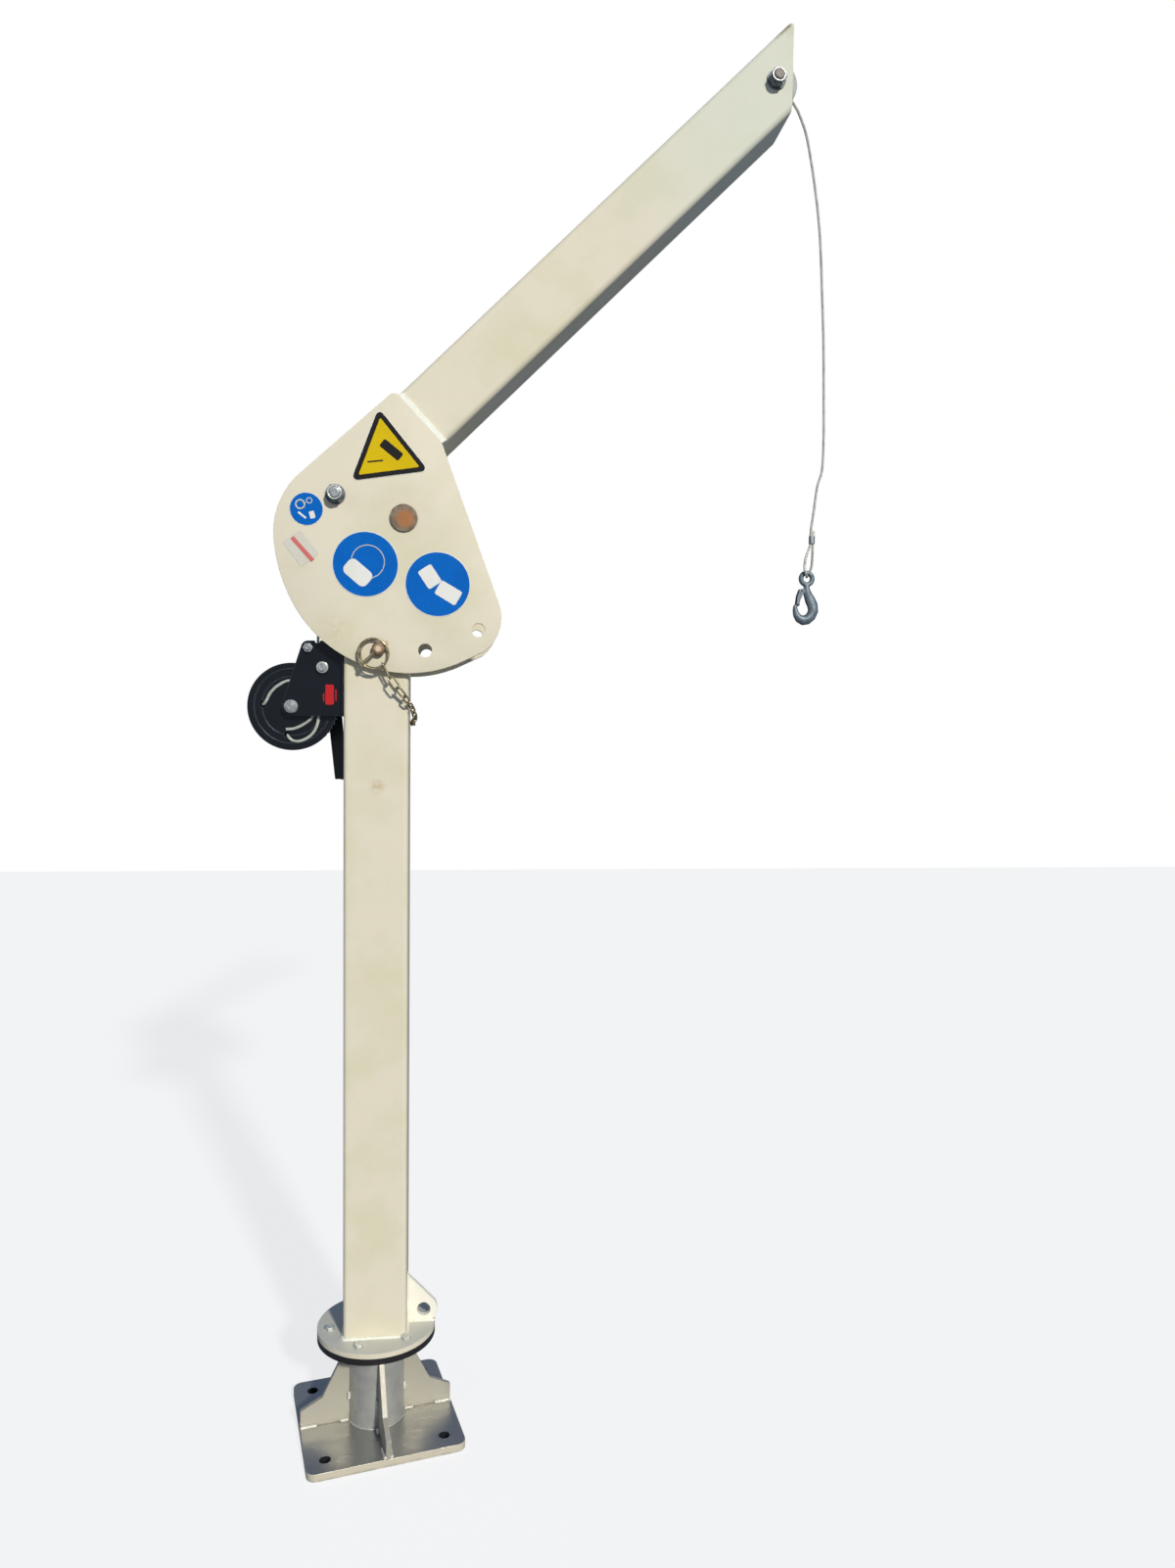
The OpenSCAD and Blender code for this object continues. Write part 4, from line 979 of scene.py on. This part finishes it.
# %% Discs and triangle
patch("disc_middle", -15.5, 1390.1, 50, 1.1, [film_pale, film_blue])
patch("disc_right", 94.2, 1362.7, 50, 1.1, [film_pale, film_blue])
patch("disc_left", -103.7, 1470.5, 25, 0.7, [film_pale, film_blue], corners=64)
for i, (reach, round_by, colour) in enumerate(((70.2, 13.7, film_pale), (68.4, 12.4, film_black),
                                               (54, 3.2, film_yellow))):
    layer = patch(f"triangle_{colour.name}", 15.2, 1558.7, reach, 0, [colour], corners=3, turn=9.7,
                  rounding=round_by)
    layer.data.transform(Matrix.Translation((0, -0.08 * MM * i, 0)))
print("patches made")

# %% [markdown]
# ## Plain marks on the films
# The films would look empty with nothing on them, so each carries plain blocks and rings of another colour,
# about as large as the marks that such films often have. They stand for no sign: a block is a box whose
# four upright edges are bevelled, and a ring is a torus pressed flat.

# %% Blocks and rings
film_red = film(
    "film_red", (196, 40, 44), (184, 34, 38), (212, 84, 84), (110, 50, 44), cloud=40, shine=0.2)
film_faded = film(
    "film_faded", (214, 116, 108), (206, 104, 98), (222, 150, 142), (130, 80, 72), cloud=60, shine=0.2)
film_clear = film(
    "film_clear", (218, 213, 196), (212, 206, 188), (228, 224, 212), (150, 144, 126), (0.6, 0.3, 0.2),
    rough=(0.2, 0.3), cloud=60, depth=0.05)


def slab(x, y, z, width, depth, height):
    """A box given by its middle and its sizes."""
    clear()
    bpy.ops.mesh.primitive_cube_add(size=1, location=(x, y, z))
    piece = bpy.context.object
    piece.scale = (width, depth, height)
    apply_turn(piece, place=False)
    return piece


def hoop(name, place, radius, wire, body, metal, flat=1.0, steps=(48, 12), turn=(90, 0, 0)):
    """A ring of round wire about Y. With flat below 1 the wire is pressed down along that axis."""
    clear()
    bpy.ops.mesh.primitive_torus_add(major_radius=radius, minor_radius=wire, major_segments=steps[0],
                                     minor_segments=steps[1], location=place,
                                     rotation=[math.radians(a) for a in turn])
    piece = bpy.context.object
    piece.scale = (1, 1, flat)
    return settle(piece, name, body, metal)


def block(name, x, z, width, height, turn, round_by, colour, y=FRONT - 0.2 * MM, body="jib"):
    piece = slab(x * MM, y, z * MM, width * MM, 0.1 * MM, height * MM)
    bevel(piece, lambda e: span(e, 1) > 0.05 * MM, round_by * MM, 6)
    piece.rotation_euler = (0, math.radians(-turn), 0)
    settle(piece, name, body, colour)


def band(name, x, z, radius, thickness):
    hoop(name, (x * MM, FRONT - 0.2 * MM, z * MM), radius * MM, thickness / 2 * MM, "jib", film_pale,
         flat=0.1 / thickness, steps=(48, 8))


print("block and band ready")

# %% Marks
block("mark_middle_block", -27, 1377, 44, 27, -40, 9, film_pale)
band("mark_middle_ring", -12, 1394, 25, 1.8)
block("mark_right_block_a", 82, 1374, 32, 24, -56, 3, film_pale)
block("mark_right_block_b", 110.5, 1350, 37, 24, -30, 3, film_pale)
band("mark_left_ring_a", -113, 1477, 6.5, 2.6)
band("mark_left_ring_b", -99.5, 1483, 4, 1.8)
block("mark_left_bar", -110, 1461, 15, 3, -38, 1, film_pale)
block("mark_left_block", -95, 1462, 8, 11, 15, 1.5, film_pale)
block("mark_triangle_block", 23, 1564, 36, 14, -38, 3, film_black, y=FRONT - 0.36 * MM)
block("mark_triangle_bar", -1, 1546, 24, 2.4, 8, 1, film_black, y=FRONT - 0.36 * MM)
block("film_square", -112, 1411, 45, 33, -52, 1, film_clear, y=FRONT)
block("film_square_bar", -109.5, 1410, 46, 6.5, -48, 0.6, film_faded, y=FRONT - 0.1 * MM)
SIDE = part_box("winch_frame")[0].y - 0.1 * MM
block("winch_mark", -71.5, 1191, 13, 31, 0, 2, film_red, y=SIDE, body="column")
block("winch_mark_bar_a", -80.5, 1187, 2, 12, 0, 0.6, film_red, y=SIDE, body="column")
block("winch_mark_bar_b", -62, 1190, 2, 18, 0, 0.6, film_red, y=SIDE, body="column")
print("marks made")

# %% [markdown]
# ## Welds of the foot
# The pedestal is joined to its base by a ring weld. Each gusset is held by short beads only: one at the
# toe, one beside the tube and a short one part of the way up it, on both sides. Bare steel is welded finer
# than the painted parts, so these beads are narrower and their ripples closer. The direction of the gussets
# is read from the corner of one of them, so that the beads follow if the base is turned.

# %% Beads on bare steel
GUSSET_HALF = 4 * MM
corner = [v.co.xy for v in nodes["gusset_right"].data.vertices]
reach = max(c.length for c in corner)
tip = sum((c for c in corner if c.length > reach - 0.1 * MM), Vector((0, 0)))
foot_turn = math.atan2(tip.y, tip.x)
seam = BASE_TOP + 0.3 * MM
weld("weld_tube_ring", "base", ring_line((0, 0), TUBE_R + 0.6 * MM, seam, steps=120),
     lambda p: Vector((p.x, p.y, 0.03)), 4.4 * MM, 2.0 * MM, 1.3 * MM, tube_stainless, wobble=0.08)
beads = {"toe": ((reach - 25 * MM, seam), (reach - 1 * MM, seam)),
         "heel": ((TUBE_R + 3 * MM, seam), (TUBE_R + 14 * MM, seam)),
         "tube": ((TUBE_R + 0.2 * MM, seam + 36 * MM), (TUBE_R + 0.2 * MM, seam + 46 * MM))}
for quarter in range(4):
    turn = Matrix.Rotation(foot_turn + quarter * math.pi / 2, 3, "Z")
    for side, letter in ((-1, "a"), (1, "b")):
        for place, ends in beads.items():
            facing = turn @ Vector((1, side, 0) if place == "tube" else (0, side, 1))
            line = [turn @ Vector((r, side * (GUSSET_HALF + 0.4 * MM), z)) for r, z in ends]
            weld(f"weld_{place}_{quarter + 1}{letter}", "base", line, facing, 7.4 * MM, 4.2 * MM, 1.5 * MM,
                 stainless_weld, wobble=0.08)
print("gussets reach", round(reach, 4), "m, turned", round(math.degrees(foot_turn), 2), "degrees")

# %% [markdown]
# ## Head plates
# Two pear-shaped plates carry the jib and hold the pivot, the roller's bolt and the lock pin. They could be
# drawn as a curve and thickened, but the outline bulges outwards all round, so points along its arcs on
# both faces are enough: the hull operator closes them into a slab. Its rims are rounded a little, as
# painted plate is, and a Boolean for each hole cuts the bores. The near plate is copied to the far side.

# %% Plate from its arcs
PLATE_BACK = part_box("head_plate_front")[1].y
# Each arc: its centre from the pivot, its radius, the angles where it begins and ends, and its steps.
arcs = ((84.5, -148.5, 66, 20, -53, 22),
        (5.5, -43, 194, -53, -151, 40),
        (50.5, -18, 245.5, -151.2, -175.6, 12),
        (-72, -27.5, 122.5, -175.6, -225, 18),
        (-14.5, 175.5, 12, -225, -290, 10))
outline = [SHOULDER]
for x, z, r, begin, end, steps in arcs:
    outline += arc_path(PIVOT + Vector((x * MM, 0, z * MM)), r * MM, begin, end, steps)
plate_mesh = bpy.data.meshes.new("plate")
plate_mesh.from_pydata([(p.x, y, p.z) for y in (PLATE_FACE, PLATE_BACK) for p in outline], [], [])
plate = only(add("plate", plate_mesh))
bpy.ops.object.mode_set(mode="EDIT")
bpy.ops.mesh.select_all(action="SELECT")
bpy.ops.mesh.convex_hull()
bpy.ops.mesh.select_all(action="SELECT")
bpy.ops.mesh.dissolve_limited(angle_limit=math.radians(0.4))
bevel(plate, lambda e: len(e.link_faces) == 2 and e.calc_face_angle() > 1.2, 0.8 * MM, 3)
print("plate outline:", len(outline), "points")

# %% Bores of the plate
lock_at = [about(PIVOT, 204 * MM, angle) for angle in (-100.6, -80.6, -55.6)]
for centre, across in [(PIVOT, 42.3), (ROLLER, 16.6)] + [(p, 21) for p in lock_at]:
    drill = cylinder(centre.x, PLATE_FACE, centre.z, across / 2 * MM, 60 * MM, 64)
    cut = plate.modifiers.new("bore", "BOOLEAN")
    cut.object, cut.operation, cut.solver = drill, "DIFFERENCE", "EXACT"
    apply_all(plate)
    bpy.data.objects.remove(drill)
finish_mesh(plate, 30)
settle(plate, "head_plate_near", "jib", cream)
far_plate = add("head_plate_far", plate.data.copy())
far_plate.data.transform(Matrix.Translation((0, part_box("head_plate_back")[0].y - PLATE_FACE, 0)))
settle(far_plate, "head_plate_far", "jib")
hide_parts("head_plate_front")
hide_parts("head_plate_back")
print("head plates:", len(plate.data.polygons), "faces each")

# %% [markdown]
# ## Bolt ends
# The CAD bolts end flat. A real bolt end is turned: it has a chamfer, and its thread shows where it stands
# out of the nut. The end is a short cylinder with its front edge bevelled and its face inset and pushed in.
# The thread is a three-sided ridge that winds round the bolt. A lock nut's collar is a ring pressed flat
# round the bolt.

# %% Turned end, thread and collar
def bolt_tip(name, centre, face, radius, body, metal):
    piece = cylinder(centre.x, (face + 0.2) * MM, centre.z, radius * MM, 1.4 * MM, 40)
    apply_turn(piece)
    front = min(v.co.y for v in piece.data.vertices)
    bevel(piece, lambda e: all(v.co.y < front + 0.01 * MM for v in e.verts), 0.6 * MM, 2)
    pick(piece, lambda f: f.normal.y < -0.9 and f.calc_area() > (radius * MM) ** 2)
    bpy.ops.mesh.inset(thickness=radius * 0.45 * MM)
    bpy.ops.transform.translate(value=(0, 0.35 * MM, 0))
    finish_mesh(piece, 30)
    settle(piece, name, body, metal)


def thread(name, centre, start, length, radius, pitch, body, metal):
    rows, before, steps = bmesh.new(), None, 24
    profile = ((radius - 0.1, -pitch * 0.35), (radius + pitch * 0.3, 0), (radius - 0.1, pitch * 0.35))
    for i in range(int(length / pitch * steps) + 1):
        y = (start + pitch * i / steps) * MM
        ring = [rows.verts.new(about(centre, r * MM, 360 * i / steps)
                               + Vector((0, y + dy * MM - centre.y, 0))) for r, dy in profile]
        if before:
            for k in range(3):
                rows.faces.new((before[k], before[(k + 1) % 3], ring[(k + 1) % 3], ring[k]))
        before = ring
    settle(from_faces(name, rows), name, body, metal)


def collar(name, centre, face, outer, inner, body, metal):
    hoop(name, (centre.x, face * MM, centre.z), (outer + inner) / 2 * MM, (outer - inner) / 2 * MM, body,
         metal, flat=0.5)


print("bolt_tip, thread and collar ready")

# %% Ends that show
TIE = (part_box("winch_tie_bolt")[0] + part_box("winch_tie_bolt")[1]) / 2
for name, centre, node, radius, pitch, proud, body in (
        ("sheave_bolt", SHEAVE, "sheave_bolt", 8, 2.0, 1.5, "jib"),
        ("roller_bolt", ROLLER, "roller_bolt", 8, 2.0, 1.5, "jib"),
        ("drum_axle", DRUM, "drum_axle", 5, 1.5, 1.5, "column"),
        ("tie_bolt", TIE, "winch_tie_bolt", 4, 1.25, 2.0, "column")):
    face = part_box(node)[0].y / MM
    bolt_tip(name + "_end", centre, face - 0.5, radius - 0.3, body, bolt_end if centre == SHEAVE else zinc)
    thread(name + "_thread", centre, face + 0.4, proud - 0.4, radius, pitch, body, grey_zinc)
    if radius == 8:
        collar(name + "_collar", centre, face + 1.6, 11, 8.3, body, pale_zinc)
bolt_tip("drive_shaft_end", CRANK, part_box("drive_shaft")[0].y / MM - 0.5, 5.4, "crank", zinc)
collar("drive_shaft_collar", CRANK, -46.3, 8.6, 6.2, "crank", pale_zinc)
print("bolt ends made")

# %% [markdown]
# ## Last small pieces
# The winch's frame is folded sheet: its back runs on a little past the side plate, so a rounded strip
# stands there. The lock pin's ring is a wire of two turns, as on a key ring, so a second, slightly tilted
# turn lies behind the first.

# %% Fold of the winch frame and second turn of the ring
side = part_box("winch_frame")[0].y
strip = slab(-51.6 * MM, (side - 48 * MM) / 2 + 0.2 * MM, 1205 * MM,
             2.9 * MM, abs(side + 48 * MM) + 0.4 * MM, 95 * MM)
bevel(strip, lambda e: span(e, 2) > 50 * MM and e.verts[0].co.y < -2 * MM, 1.2 * MM, 4)
finish_mesh(strip, 40)
settle(strip, "winch_frame_fold", "column", black_coat)

ring_low, ring_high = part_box("lock_pin_ring")
RING_OUTER = 24.75 * MM
hoop("lock_ring_second_turn",
     (ring_low.x + RING_OUTER + 1.9 * MM, -68.7 * MM, ring_high.z - RING_OUTER + 0.2 * MM),
     21.2 * MM, 1.0 * MM, "column", chain_steel, steps=(72, 10), turn=(88, 0, -2))
print("fold and ring made")

# %% The end: nothing left selected
clear()
